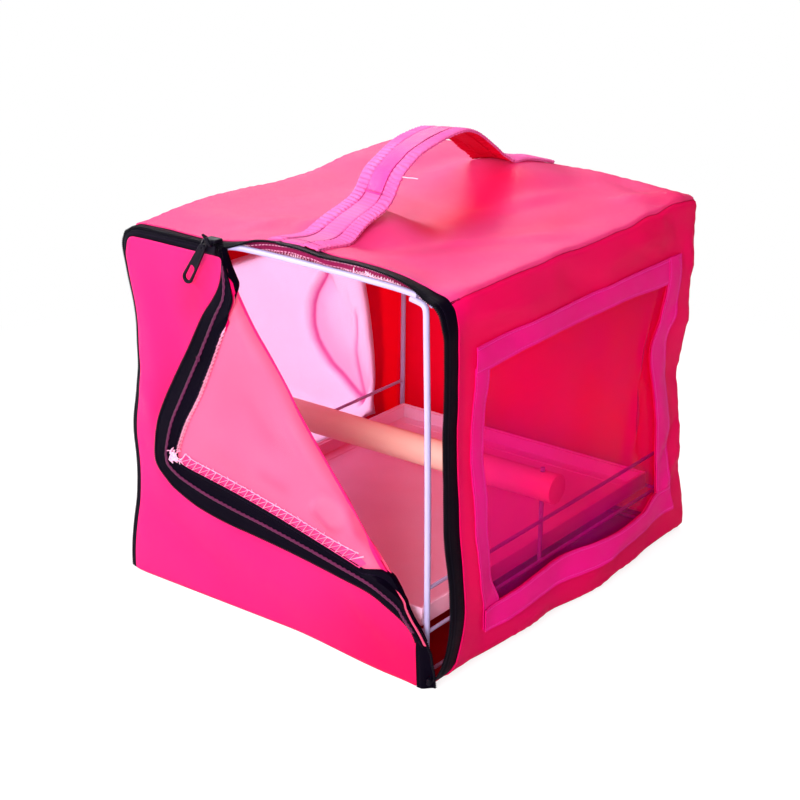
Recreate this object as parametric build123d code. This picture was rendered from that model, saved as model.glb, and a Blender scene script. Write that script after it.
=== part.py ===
from build123d import *
import math
import os

# Bird travel carrier: a zipped fabric cover over a welded wire frame that holds a tray and a perch.
# Millimetres, +Z up. The origin is the centre of the bottom, and the door faces -Y.

# Cover
cover_width = 260.0
cover_depth = 300.0
cover_height = 250.0
fabric = 1.2            # coated fabric with its lining
edge_radius = 10.0      # soft edges of the cover

# Windows, one in each side wall, by the cloth left round them
window_front_margin = 54.0
window_rear_margin = 38.0
window_bottom_margin = 38.0
window_top_margin = 54.0
film = 0.6              # clear film and mesh alike
film_margin = 8.0       # what the binding hides of the film
binding_width = 17.0
binding = 0.8

# Zip round the door
tape_width = 12.0
tape = 1.0
coil_width = 1.6
coil_height = 2.0
coil_gap = 1.4          # room between the two coils for the slider
zip_end = 8.0           # where the coil stops above the ground
end_stop = 4.0

# Door, and the corner of it that is folded out
fold_width = 173.0      # how much of the top edge is folded out
crease_foot = 12.0      # where the crease meets the right edge, above the ground
fold_angle = 175.0      # how far the corner is turned out from shut
crease_radius = 0.9
crease_top_room = 12.0  # the roll starts below the slider
crease_end_room = 8.0

# Slider and pull
slider_room = 0.3       # from the slider to the crease's top end
slider_skirt = 7.0      # how far its plates reach down over the coil
slider_length = 11.0
slider_plate = 1.5
slider_rear_plate = 0.8
bar_radius = 0.8
bar_length = 9.0
bar_forward = 7.0       # the bar's distance in front of the door
bar_lift = 5.0          # and above the roof
bar_clearance = 0.1
knuckle_radius = 1.7
knuckle_length = 5.6
pull_length = 36.0
pull_width = 8.0
pull_thickness = 1.5
pull_slot_length = 13.0
pull_slot_width = 4.0
pull_lean = 45.0        # how far from straight down the pull points to the left
pull_round = 0.45       # its corners and its slot's, by their width

# Handle
strap_width = 38.0
strap = 2.0
strap_centre_x = 5.0
strap_centre_y = 4.0
arch_span = 192.0
arch_rise = 52.0
arch_reach = 158.0      # length of the part that leans, between its cut ends
rear_foot_room = 11.0   # roof left bare behind the strap
grip_width = 20.0
grip = 0.8
grip_reach = 140.0

# Wire frame
frame_side_room = 9.8   # between the posts and the side walls
frame_front_room = 2.0  # between the front posts and the door
frame_rear_room = 8.6   # between the rear posts and the back wall
post_radius = 2.0
wire_radius = 1.25
post_bend = 6.0
post_lap = 20.0         # the bent top of a post, along the front or rear wire
tray_rail_z = 31.0
guide_rail_z = 61.0
support_count = 3

# Perch and its stubs
perch_radius = 12.0
perch_overhang = 11.8   # from the middle of each hole to the end of the perch
perch_y = -14.0
perch_z = 86.0
perch_edge = 1.2
stub_radius = 1.5
stub_fit = 0.08
stub_tip_room = 0.5     # the stub stops this far below the top of the perch

# Tray
tray_height = 12.0
tray_wall = 1.6
tray_side_room = 1.2    # to the perch's stubs
tray_end_room = 4.0     # to the posts
tray_corner = 8.0

# Clearances
skin = 0.05             # between pieces that lie on each other
running = 0.3           # between pieces that move past each other

half_width = cover_width / 2
half_depth = cover_depth / 2
seam = edge_radius * (1 - math.sqrt(0.5))
reach = 2 * max(cover_width, cover_depth, cover_height)
window_front = window_front_margin - half_depth
window_back = half_depth - window_rear_margin
window_top = cover_height - window_top_margin
door_back = -half_depth + fabric
body_coil_front = door_back + coil_gap
body_tape_front = body_coil_front + coil_width
body_tape_back = body_tape_front + tape_width
frame_x = half_width - fabric - frame_side_room - post_radius
frame_front = door_back + frame_front_room + post_radius
frame_rear = half_depth - fabric - frame_rear_room - post_radius
side_rail_z = cover_height - fabric - skin - wire_radius
cross_rail_z = side_rail_z - 2 * wire_radius - skin
base_z = fabric + skin + wire_radius
stub_x = frame_x - wire_radius - stub_radius - skin
fold_top_x = half_width - fold_width
fold_height = cover_height - crease_foot
slider_x = fold_top_x - slider_room - slider_length / 2

parts = {}


def span(x_low, x_high, y_low, y_high, z_low, z_high):
    size = (x_high - x_low, y_high - y_low, z_high - z_low)
    middle = ((x_low + x_high) / 2, (y_low + y_high) / 2, (z_low + z_high) / 2)
    return Pos(*middle) * Box(*size)


def rod(start, end, radius):
    # a straight round wire
    path = Edge.make_line(start, end)
    return sweep(Plane(origin=start, z_dir=path % 0) * Circle(radius), path=path)


def cover_form(inset, front):
    # the cover's outer form with every face moved in, open towards the front
    radius = edge_radius - inset
    block = span(
        inset - half_width, half_width - inset, front, half_depth - inset, inset, cover_height - inset
    )
    rear = block.faces().sort_by(Axis.Y)[-1]
    return fillet(block.edges().filter_by(Axis.Y) + rear.edges(), radius)


def cover_shell(thickness, front, back):
    shell = cover_form(0, front) - cover_form(thickness, front - fabric)
    return shell & span(-reach, reach, front, back, -reach, reach)


def front_outline(inset):
    # the door's outline moved in at both sides and at the top, as a plate as thick as the fabric
    radius = max(edge_radius - inset, fabric)
    block = span(
        inset - half_width, half_width - inset, -half_depth, door_back, -edge_radius, cover_height - inset
    )
    top = block.faces().sort_by(Axis.Z)[-1]
    rounded = fillet(top.edges().filter_by(Axis.Y), radius)
    foot = cover_form(0, -half_depth) & span(-reach, reach, -half_depth, door_back, running, reach)
    return rounded & foot


def make_cover():
    # five panels, with seams along the middle of the cover's rounded edges
    shell = cover_shell(fabric, door_back + running, half_depth)
    sleeve = shell & span(-reach, reach, body_tape_back, reach, -reach, reach)
    parts["roof_panel"] = sleeve & span(-reach, reach, -reach, reach, cover_height - seam, reach)
    parts["floor_panel"] = shell & span(-reach, reach, -reach, reach, -reach, seam)
    band = sleeve & span(-reach, reach, -reach, reach, seam, cover_height - seam)
    side_face = half_width - edge_radius
    rear_seam = half_depth - seam
    left_side = span(-reach, -side_face, -reach, rear_seam, -reach, reach)
    right_side = span(side_face, reach, -reach, rear_seam, -reach, reach)
    hole = span(-reach, reach, window_front, window_back, window_bottom_margin, window_top)
    parts["left_wall"] = (band & left_side) - hole
    parts["right_wall"] = (band & right_side) - hole
    rear = band & span(-reach, reach, half_depth - edge_radius, reach, -reach, reach)
    parts["back_wall"] = rear - left_side - right_side


def make_window(side, sign, panel):
    # the panel lies on the wall's inner face, and four binding strips on its outer face
    face = half_width - fabric
    parts[panel] = span(
        *sorted((sign * (face - film), sign * face)),
        window_front - film_margin,
        window_back + film_margin,
        window_bottom_margin - film_margin,
        window_top + film_margin,
    )
    depth = sorted((sign * half_width, sign * (half_width + binding)))
    front = window_front - binding_width
    back = window_back + binding_width
    strips = {
        "top": (front, back, window_top, window_top + binding_width),
        "bottom": (front, back, window_bottom_margin - binding_width, window_bottom_margin),
        "front": (front, window_front, window_bottom_margin, window_top),
        "rear": (window_back, back, window_bottom_margin, window_top),
    }
    for name, extent in strips.items():
        parts[f"{side}_window_binding_{name}"] = span(*depth, *extent)


def make_cover_zip():
    # the half of the zip that is sewn to the roof and side walls
    above = span(-reach, reach, -reach, reach, zip_end, reach)
    parts["cover_zip_tape"] = cover_shell(tape, body_tape_front, body_tape_back) & above
    parts["cover_zip_coil"] = cover_shell(coil_height, body_coil_front, body_tape_front) & above
    stops = [
        span(
            *sorted((sign * (half_width - coil_height), sign * half_width)),
            body_coil_front,
            body_tape_front,
            zip_end - end_stop,
            zip_end,
        )
        for sign in (-1, 1)
    ]
    coil_path = cover_shell(coil_height, body_coil_front, body_tape_front)
    parts["zip_end_stops"] = Compound([coil_path & stop for stop in stops])


def crease_frame():
    # origin on the crease at the top edge, X across it towards the folded corner, Z down along it
    along = Vector(fold_width, 0, -fold_height)
    across = Vector(fold_height, 0, fold_width)
    origin = (fold_top_x, -half_depth - crease_radius - running, cover_height)
    return Plane(origin=origin, x_dir=across, z_dir=along), along.length


def make_door():
    frame, length = crease_frame()
    corner_side = frame * Pos(reach + running, 0, 0) * Box(2 * reach, 2 * reach, 4 * reach)
    panel_side = frame * Pos(-reach - running, 0, 0) * Box(2 * reach, 2 * reach, 4 * reach)
    coil_inner = front_outline(coil_height)
    fabric_inner = front_outline(coil_height + tape_width)
    layers = {
        ("front_panel", "door_flap"): fabric_inner,
        ("door_zip_tape", "flap_zip_tape"): coil_inner - fabric_inner,
        ("door_zip_coil", "flap_zip_coil"): front_outline(0) - coil_inner,
    }
    crease = Axis(frame.origin, frame.z_dir)
    for (panel, corner), layer in layers.items():
        parts[panel] = layer & panel_side
        parts[corner] = (layer & corner_side).rotate(crease, fold_angle)
    roll_length = length - crease_top_room - crease_end_room
    roll = Cylinder(crease_radius, roll_length, align=(Align.CENTER, Align.CENTER, Align.MIN))
    parts["crease_roll"] = frame * Pos(0, 0, crease_top_room) * roll


def pull_frame():
    # origin on the bar's centre, X down along the pull, Z along the bar
    lean = math.radians(pull_lean)
    down = (-math.sin(lean), 0, -math.cos(lean))
    bar = (math.cos(lean), 0, -math.sin(lean))
    origin = (slider_x, -half_depth - bar_forward, cover_height + bar_lift)
    return Plane(origin=origin, x_dir=down, z_dir=bar)


def make_slider():
    # a saddle over the door's coil, with a bar in front that the pull hangs from
    x_low = slider_x - slider_length / 2
    x_high = slider_x + slider_length / 2
    skirt_low = cover_height - slider_skirt
    bridge_low = cover_height + running
    bridge_high = bridge_low + slider_plate
    front_back = -half_depth - running
    front_low = front_back - slider_plate
    rear_low = door_back + running
    rear_high = rear_low + slider_rear_plate
    front_plate = span(x_low, x_high, front_low, front_back, skirt_low, bridge_high)
    rear_plate = span(x_low, x_high, rear_low, rear_high, skirt_low, bridge_high)
    bridge = span(x_low, x_high, front_low, rear_high, bridge_low, bridge_high)
    frame = pull_frame()
    bar_y = -half_depth - bar_forward
    rear = front_back - bar_y
    yoke = Pos(0, rear - slider_plate / 2, 0) * Box(2 * bar_radius, slider_plate, bar_length)
    arms = [
        Pos(0, rear / 2, side * (bar_length - slider_plate) / 2) * Box(2 * bar_radius, rear, slider_plate)
        for side in (-1, 1)
    ]
    bar = Cylinder(bar_radius, bar_length)
    stem_low = slider_x - slider_plate
    stem_high = slider_x + slider_plate
    stem = span(stem_low, stem_high, front_low, front_back, bridge_low, cover_height + bar_lift)
    parts["zip_slider"] = front_plate + rear_plate + bridge + stem + frame * (yoke + arms[0] + arms[1] + bar)


def make_pull():
    frame = pull_frame()
    knuckle = Cylinder(knuckle_radius, knuckle_length)
    tab_length = pull_length - knuckle_radius
    tab = Pos(knuckle_radius / 2 + tab_length / 2, 0, 0) * Box(tab_length, pull_thickness, pull_width)
    tab = fillet(tab.edges().filter_by(Axis.Y).group_by(Axis.X)[-1], pull_width * pull_round)
    slot_centre = pull_length - pull_slot_length / 2 - (pull_width - pull_slot_width) / 2
    slot = Pos(slot_centre, 0, 0) * Box(pull_slot_length, 2 * pull_thickness, pull_slot_width)
    slot = fillet(slot.edges().filter_by(Axis.Y), pull_slot_width * pull_round)
    notch_length = bar_length - knuckle_length
    room = slider_plate + running
    ears = [
        Pos(0, 0, side * (knuckle_length / 2 + notch_length / 2))
        * Box(2 * (knuckle_radius + room), 3 * knuckle_radius, notch_length)
        for side in (-1, 1)
    ]
    bore = Cylinder(bar_radius + bar_clearance, 2 * bar_length)
    parts["zip_pull"] = frame * (knuckle + tab - slot - ears[0] - ears[1] - bore)


def arch_ring(inner_extra, thickness, width):
    # a strip of the handle's arch, above the roof
    inner_rise = arch_rise - strap
    radius = ((arch_span / 2) ** 2 + inner_rise**2) / (2 * inner_rise)
    centre_z = cover_height + inner_rise - radius
    low = radius + inner_extra
    place = Pos(strap_centre_x, strap_centre_y, centre_z) * Rot(0, 90, 0)
    ring = Cylinder(low + thickness, width) - Cylinder(low, 2 * width)
    return (place * ring) & span(-reach, reach, -reach, reach, cover_height + skin, reach)


def make_handle():
    arch = arch_ring(0, strap, strap_width)
    lean_front = strap_centre_y - arch_reach / 2
    lean_back = strap_centre_y + arch_reach / 2
    parts["handle_strap"] = arch & span(-reach, reach, lean_front, lean_back, 0, reach)
    strip = arch_ring(strap + skin, grip, grip_width)
    parts["handle_grip_strip"] = strip & span(
        -reach, reach, strap_centre_y - grip_reach / 2, strap_centre_y + grip_reach / 2, 0, reach
    )
    x_low = strap_centre_x - strap_width / 2
    x_high = strap_centre_x + strap_width / 2
    under = cover_height + skin
    front_flat = span(
        x_low, x_high, body_tape_back, strap_centre_y - arch_span / 2 + strap, under, under + strap
    )
    rear_flat = span(
        x_low,
        x_high,
        strap_centre_y + arch_span / 2 - strap,
        half_depth - rear_foot_room,
        under,
        under + strap,
    )
    front_rise = arch & span(-reach, reach, -reach, lean_front - running, 0, reach)
    rear_rise = arch & span(-reach, reach, lean_back + running, reach, 0, reach)
    parts["handle_foot_front"] = front_flat + front_rise
    parts["handle_foot_rear"] = rear_flat + rear_rise


def make_frame():
    # posts, each bent inwards at the top and welded under the front or rear wire
    lap_z = cross_rail_z - wire_radius - post_radius - skin
    for depth_name, y in (("front", frame_front), ("rear", frame_rear)):
        for side_name, sign in (("left", -1), ("right", 1)):
            x = sign * frame_x
            points = [(x, y, fabric + skin), (x, y, lap_z), (x - sign * post_lap, y, lap_z)]
            path = FilletPolyline(*points, radius=post_bend)
            section = Plane(origin=points[0], z_dir=(0, 0, 1)) * Circle(post_radius)
            parts[f"post_{depth_name}_{side_name}"] = sweep(section, path=path)
    # wires between the posts, at each level
    gap_x = frame_x - post_radius - skin
    front_gap = frame_front + post_radius + skin
    rear_gap = frame_rear - post_radius - skin
    for level, z in (("base_wire", base_z), ("tray_wire", tray_rail_z)):
        for name, y in (("front", frame_front), ("rear", frame_rear)):
            parts[f"{level}_{name}"] = rod((-gap_x, y, z), (gap_x, y, z), wire_radius)
    for level, z in (("base_wire", base_z), ("tray_wire", tray_rail_z), ("guide_wire", guide_rail_z)):
        for name, x in (("left", -frame_x), ("right", frame_x)):
            parts[f"{level}_{name}"] = rod((x, front_gap, z), (x, rear_gap, z), wire_radius)
    for name, y in (("front", frame_front), ("rear", frame_rear)):
        end_x = frame_x + wire_radius
        parts[f"top_wire_{name}"] = rod((-end_x, y, cross_rail_z), (end_x, y, cross_rail_z), wire_radius)
    for name, x in (("left", -frame_x), ("right", frame_x)):
        ends = ((x, frame_front, side_rail_z), (x, frame_rear, side_rail_z))
        parts[f"top_wire_{name}"] = rod(*ends, wire_radius)
    # wires under the tray, welded between the front and rear ones
    pitch = 2 * frame_x / (support_count + 1)
    low_y = frame_front + wire_radius + skin
    high_y = frame_rear - wire_radius - skin
    places = [n * pitch - frame_x for n in range(1, support_count + 1)]
    supports = [rod((x, low_y, tray_rail_z), (x, high_y, tray_rail_z), wire_radius) for x in places]
    parts["tray_support_wires"] = Compound(supports)
    # upright stubs that the perch is pushed onto
    tip_z = perch_z + perch_radius - stub_tip_room
    for name, x in (("left", -stub_x), ("right", stub_x)):
        start = (x, perch_y, tray_rail_z - wire_radius)
        parts[f"perch_stub_{name}"] = rod(start, (x, perch_y, tip_z), stub_radius)


def make_perch():
    perch_length = 2 * (stub_x + perch_overhang)
    dowel = Pos(0, perch_y, perch_z) * Rot(0, 90, 0) * Cylinder(perch_radius, perch_length)
    dowel = chamfer(dowel.edges().filter_by(GeomType.CIRCLE), perch_edge)
    for x in (-stub_x, stub_x):
        dowel -= Pos(x, perch_y, perch_z) * Cylinder(stub_radius + stub_fit, 3 * perch_radius)
    parts["perch"] = dowel


def make_tray():
    half_x = stub_x - stub_radius - tray_side_room
    low_y = frame_front + post_radius + tray_end_room
    high_y = frame_rear - post_radius - tray_end_room
    bottom = tray_rail_z + wire_radius + running
    outer = span(-half_x, half_x, low_y, high_y, bottom, bottom + tray_height)
    outer = fillet(outer.edges().filter_by(Axis.Z), tray_corner)
    inner = span(
        tray_wall - half_x,
        half_x - tray_wall,
        low_y + tray_wall,
        high_y - tray_wall,
        bottom + tray_wall,
        bottom + 2 * tray_height,
    )
    inner = fillet(inner.edges().filter_by(Axis.Z), tray_corner - tray_wall)
    parts["floor_tray"] = outer - inner


make_cover()
make_window("left", -1, "left_window_mesh")
make_window("right", 1, "right_window_film")
make_cover_zip()
make_door()
make_slider()
make_pull()
make_handle()
make_frame()
make_perch()
make_tray()

os.makedirs("parts", exist_ok=True)
for node, shape in parts.items():
    export_step(shape, f"parts/{node}.step")
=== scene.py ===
import math

import bmesh
import bpy
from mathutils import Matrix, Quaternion, Vector, noise


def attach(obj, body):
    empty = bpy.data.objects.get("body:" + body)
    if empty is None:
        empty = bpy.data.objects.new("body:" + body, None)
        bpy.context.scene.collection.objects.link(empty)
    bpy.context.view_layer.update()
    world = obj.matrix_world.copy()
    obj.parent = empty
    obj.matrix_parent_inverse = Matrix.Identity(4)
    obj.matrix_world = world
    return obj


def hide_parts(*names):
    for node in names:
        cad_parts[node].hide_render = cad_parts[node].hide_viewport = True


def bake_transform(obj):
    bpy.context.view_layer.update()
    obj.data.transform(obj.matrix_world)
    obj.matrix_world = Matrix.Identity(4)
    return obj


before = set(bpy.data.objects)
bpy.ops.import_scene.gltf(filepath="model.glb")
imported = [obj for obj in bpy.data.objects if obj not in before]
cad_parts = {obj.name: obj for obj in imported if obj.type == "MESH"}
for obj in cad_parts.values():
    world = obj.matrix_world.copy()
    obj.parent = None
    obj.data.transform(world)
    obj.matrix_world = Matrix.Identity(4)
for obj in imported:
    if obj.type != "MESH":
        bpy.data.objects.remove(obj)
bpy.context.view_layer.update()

mm = 0.001
up = Vector((0, 0, 1))
print("carrier: frame loaded")

# camera

viewing = {"place": (704.1, -953.6, 569.2), "target": (-15.22, 0.0, 109.73), "roll": 0.65, "lens": 81.876}


def addCamera():
    bpy.ops.object.camera_add(location=Vector(viewing["place"]) * mm)
    camera = bpy.context.object
    camera.name = "viewCamera"
    camera.data.lens = viewing["lens"]
    camera.data.clip_start = 0.05
    camera.data.clip_end = 20
    look = Vector(viewing["target"]) - Vector(viewing["place"])
    turn = look.to_track_quat("-Z", "Y") @ Quaternion((0, 0, 1), math.radians(viewing["roll"]))
    camera.rotation_mode = "QUATERNION"
    camera.rotation_quaternion = turn
    bpy.context.scene.camera = camera


bpy.ops.object.select_all(action="DESELECT")
addCamera()

# small tools

def focusOn(*pieces):
    bpy.ops.object.select_all(action="DESELECT")
    for piece in pieces:
        piece.select_set(True)
    bpy.context.view_layer.objects.active = pieces[0]


def addPiece(name, data):
    piece = bpy.data.objects.new(name, data)
    bpy.context.scene.collection.objects.link(piece)
    return piece


def addShape(operator, **settings):
    bpy.ops.object.select_all(action="DESELECT")
    operator(**settings)
    return bpy.context.object


def applyModifier(piece, kind, **settings):
    focusOn(piece)
    modifier = piece.modifiers.new(kind.lower(), kind)
    for name, value in settings.items():
        setattr(modifier, name, value)
    bpy.ops.object.modifier_apply(modifier=modifier.name)


def settle(piece):
    focusOn(piece)
    bpy.ops.object.transform_apply(location=True, rotation=True, scale=True)


def smooth(piece, angle=50):
    focusOn(piece)
    bpy.ops.object.shade_smooth_by_angle(angle=math.radians(angle))


def joinPieces(name, pieces):
    focusOn(*pieces)
    bpy.ops.object.join()
    joined = bpy.context.object
    joined.name = name
    joined.data.name = name
    return joined


def ease(value):
    value = min(max(value, 0.0), 1.0)
    return value * value * (3 - 2 * value)


def bell(away, width):
    return math.exp(-(away / width) ** 2)


def between(value, points):
    # eased reading of a row of (place, amount) pairs
    if value <= points[0][0]:
        return points[0][1]
    for (low, first), (high, second) in zip(points, points[1:]):
        if value <= high:
            return first + (second - first) * ease((value - low) / (high - low))
    return points[-1][1]


def softLine(points, steps=8):
    # a smooth line through points
    points = [Vector(p) for p in points]
    line = []
    for n in range(len(points) - 1):
        before = points[max(n - 1, 0)]
        first, second = points[n], points[n + 1]
        after = points[min(n + 2, len(points) - 1)]
        for k in range(steps):
            t = k / steps
            line.append(0.5 * (2 * first + (second - before) * t
                               + (2 * before - 5 * first + 4 * second - after) * t * t
                               + (3 * first - before - 3 * second + after) * t * t * t))
    line.append(points[-1])
    return line


def evenLine(points, count):
    # the same line cut into equal lengths
    line = [Vector(p) for p in points]
    lengths = [0.0]
    for a, b in zip(line, line[1:]):
        lengths.append(lengths[-1] + (b - a).length)
    total, spot, even = lengths[-1], 0, []
    for n in range(count + 1):
        wanted = total * n / count
        while spot < len(line) - 2 and lengths[spot + 1] < wanted:
            spot += 1
        part = (wanted - lengths[spot]) / max(lengths[spot + 1] - lengths[spot], 1e-9)
        even.append(line[spot].lerp(line[spot + 1], min(max(part, 0), 1)))
    return even


def lineLength(line):
    return sum((b - a).length for a, b in zip(line, line[1:]))


# finishes

def put(tree, kind, sockets=None, **settings):
    node = tree.nodes.new("ShaderNode" + kind)
    for name, value in settings.items():
        setattr(node, name, value)
    for name, value in (sockets or {}).items():
        if isinstance(value, bpy.types.NodeSocket):
            tree.links.new(value, node.inputs[name])
        else:
            node.inputs[name].default_value = value
    return node


def sums(tree, operation, first, second=0.0, third=None):
    sockets = {0: first, 1: second}
    if third is not None:
        sockets[2] = third
    return put(tree, "Math", sockets, operation=operation).outputs[0]


def ramp(tree, value, low, high, first=1.0, last=0.0, **settings):
    sockets = {"Value": value, "From Min": low, "From Max": high, "To Min": first, "To Max": last}
    return put(tree, "MapRange", sockets, **settings).outputs[0]


def noiseOf(tree, where, scale, detail, rough=0.5):
    return put(tree, "TexNoise", {"Vector": where, "Scale": scale, "Detail": detail, "Roughness": rough})


def mixShaders(tree, share, first, second):
    return put(tree, "MixShader", {0: share, 1: first.outputs[0], 2: second.outputs[0]})


def shell(tree, colour, rough, normal, more=None):
    sockets = {"Base Color": colour, "Roughness": rough, "Normal": normal}
    return put(tree, "BsdfPrincipled", {**sockets, **(more or {})})


def showOn(tree, output, shader):
    tree.links.new(shader.outputs[0], output.inputs["Surface"])


def newGroup(name, inputs, outputs):
    group = bpy.data.node_groups.new(name, "ShaderNodeTree")
    for label, kind, value in inputs:
        socket = group.interface.new_socket(label, in_out="INPUT", socket_type=kind)
        if value is not None:
            socket.default_value = value
    for label, kind in outputs:
        group.interface.new_socket(label, in_out="OUTPUT", socket_type=kind)
    return group, group.nodes.new("NodeGroupInput"), group.nodes.new("NodeGroupOutput")


def makeWeaveGroup():
    # plain weave: threads over and under by turns, with a little slack
    group, entry, leave = newGroup(
        "plainWeave",
        [("Vector", "NodeSocketVector", None), ("Threads", "NodeSocketFloat", 1200.0)],
        [("Height", "NodeSocketFloat"), ("Gap", "NodeSocketFloat")],
    )
    wobble = noiseOf(group, entry.outputs["Vector"], 90.0, 2.0)
    spread = put(group, "VectorMath", {0: wobble.outputs["Color"], 1: (0.0006,) * 3}, operation="MULTIPLY")
    moved = put(group, "VectorMath", {0: entry.outputs["Vector"], 1: spread.outputs[0]}, operation="ADD")
    scaled = put(group, "VectorMath", {0: moved.outputs[0], "Scale": entry.outputs["Threads"]},
        operation="SCALE")
    parts = put(group, "SeparateXYZ", {0: scaled.outputs[0]})
    waves = []
    for axis in ("X", "Y"):
        angle = sums(group, "MULTIPLY", parts.outputs[axis], math.pi)
        waves.append(sums(group, "ABSOLUTE", sums(group, "SINE", angle)))
    checks = put(group, "TexChecker", {"Vector": scaled.outputs[0], "Scale": 1.0})
    height = put(group, "Mix", {"Factor": checks.outputs["Fac"], 2: waves[0], 3: waves[1]})
    group.links.new(height.outputs[0], leave.inputs["Height"])
    gap = sums(group, "SUBTRACT", 1.0, sums(group, "MAXIMUM", waves[0], waves[1]))
    group.links.new(gap, leave.inputs["Gap"])
    return group


def makeMottleGroup():
    # slow changes over a surface, and a fine speckle
    group, entry, leave = newGroup(
        "mottle",
        [("Vector", "NodeSocketVector", None), ("Broad", "NodeSocketFloat", 9.0),
            ("Fine", "NodeSocketFloat", 160.0)],
        [("Cloud", "NodeSocketFloat"), ("Speck", "NodeSocketFloat")],
    )
    cloud = noiseOf(group, entry.outputs["Vector"], entry.outputs["Broad"], 3.0, 0.45)
    speck = noiseOf(group, entry.outputs["Vector"], entry.outputs["Fine"], 4.0, 0.6)
    group.links.new(cloud.outputs["Fac"], leave.inputs["Cloud"])
    group.links.new(speck.outputs["Fac"], leave.inputs["Speck"])
    return group


def makeRibGroup():
    # ribs across a band, and a row of stitches along it: U runs along the band and V across it
    group, entry, leave = newGroup(
        "ribsAndStitches",
        [("Vector", "NodeSocketVector", None), ("Ribs", "NodeSocketFloat", 900.0),
            ("Line", "NodeSocketFloat", 0.002),
         ("Mirror", "NodeSocketFloat", 0.0), ("Pitch", "NodeSocketFloat", 0.0026)],
        [("Rib", "NodeSocketFloat"), ("Stitch", "NodeSocketFloat"), ("Trench", "NodeSocketFloat")],
    )
    parts = put(group, "SeparateXYZ", {0: entry.outputs["Vector"]})
    angle = sums(group, "MULTIPLY", sums(group, "MULTIPLY", parts.outputs["X"], entry.outputs["Ribs"]),
        2 * math.pi)
    rib = sums(group, "MULTIPLY_ADD", sums(group, "SINE", angle), 0.5, 0.5)
    group.links.new(rib, leave.inputs["Rib"])
    off = sums(group, "ABSOLUTE", sums(group, "SUBTRACT", parts.outputs["Y"], entry.outputs["Line"]))
    other = sums(group, "ABSOLUTE", sums(group, "SUBTRACT", parts.outputs["Y"], entry.outputs["Mirror"]))
    off = sums(group, "MINIMUM", off, other)
    inLine = ramp(group, off, 0.0002, 0.00045)
    trench = ramp(group, off, 0.0001, 0.0013)
    turn = sums(group, "FRACT", sums(group, "DIVIDE", parts.outputs["X"], entry.outputs["Pitch"]))
    dash = ramp(group, sums(group, "ABSOLUTE", sums(group, "SUBTRACT", turn, 0.5)), 0.3, 0.4)
    group.links.new(sums(group, "MULTIPLY", inLine, dash), leave.inputs["Stitch"])
    group.links.new(trench, leave.inputs["Trench"])
    return group


groups = {"weave": makeWeaveGroup(), "mottle": makeMottleGroup(), "ribs": makeRibGroup()}


def useGroup(tree, name, **sockets):
    return put(tree, "Group", sockets, node_tree=groups[name])


def startMaterial(name):
    material = bpy.data.materials.new(name)
    material.use_nodes = True
    tree = material.node_tree
    tree.nodes.clear()
    return material, tree, tree.nodes.new("ShaderNodeOutputMaterial")


def weaveMap(tree):
    return put(tree, "UVMap", uv_map="weave").outputs["UV"]


def objectMap(tree):
    return put(tree, "TexCoord").outputs["Object"]


def tint(tree, factor, first, second):
    mix = put(tree, "Mix", {"Factor": factor}, data_type="RGBA")
    mix.inputs["A"].default_value = (*first, 1)
    mix.inputs["B"].default_value = (*second, 1)
    return mix.outputs["Result"]


def tintOver(tree, factor, base, second):
    mix = put(tree, "Mix", {"Factor": factor}, data_type="RGBA")
    tree.links.new(base, mix.inputs["A"])
    mix.inputs["B"].default_value = (*second, 1)
    return mix.outputs["Result"]


def bump(tree, height, distance, strength=1.0, before=None):
    sockets = {"Height": height, "Distance": distance, "Strength": strength}
    if before is not None:
        sockets["Normal"] = before
    return put(tree, "Bump", sockets).outputs["Normal"]


plainCloth = {"threads": 1500.0, "rough": 0.5, "sheen": 0.0, "through": (1.0, 0.001, 0.03), "share": 0.26,
    "gloss": 0.05}
# outer, front and roof are one pink cloth in shaded and lit copies: outer, the shaded copy, dresses the
# walls, floor and back; front and roof are lit copies whose paler, whiter tones are painted light, on the
# roof painted sheen
clothTones = {
    "outer": {"deep": (0.85, 0.0006, 0.07), "light": (0.91, 0.003, 0.16), "gloss": 0.04},
    "front": {"deep": (0.88, 0.003, 0.14), "light": (0.95, 0.030, 0.26), "rough": 0.48, "sheen": 0.02,
        "gloss": 0.10, "shade": (0.90, 0.0008, 0.085)},
    "roof": {"deep": (0.88, 0.018, 0.19), "light": (0.95, 0.085, 0.33), "rough": 0.46, "sheen": 0.03,
        "gloss": 0.15, "shade": (0.88, 0.0012, 0.08)},
    # inner, lining and under are the cloth's inside in lit and shaded copies: inner is the pale coated side,
    # its paleness partly its own colour and partly painted light; lining is its deep red painted-shade copy
    # for the roof, walls and back; under is darker still, painted shade on the floor
    "inner": {"deep": (0.87, 0.070, 0.20), "light": (0.95, 0.145, 0.31), "rough": 0.38, "sheen": 0.05,
        "through": (1.0, 0.01, 0.05), "share": 0.2, "gloss": 0.3, "shade": (0.84, 0.035, 0.14)},
    "lining": {"deep": (0.86, 0.002, 0.045), "light": (0.93, 0.003, 0.07), "through": (1.0, 0.002, 0.03),
        "share": 0.5},
    "under": {"deep": (0.30, 0.001, 0.015), "light": (0.40, 0.001, 0.022), "through": (0.6, 0.001, 0.02),
        "share": 0.2},
    "mesh": {"deep": (0.78, 0.50, 0.69), "light": (0.90, 0.68, 0.84), "threads": 520.0, "rough": 0.6,
        "sheen": 0.1, "through": (0.98, 0.74, 0.93), "share": 0.6, "gloss": 0.2, "shade": (0.84, 0.26, 0.56)},
}


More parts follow.
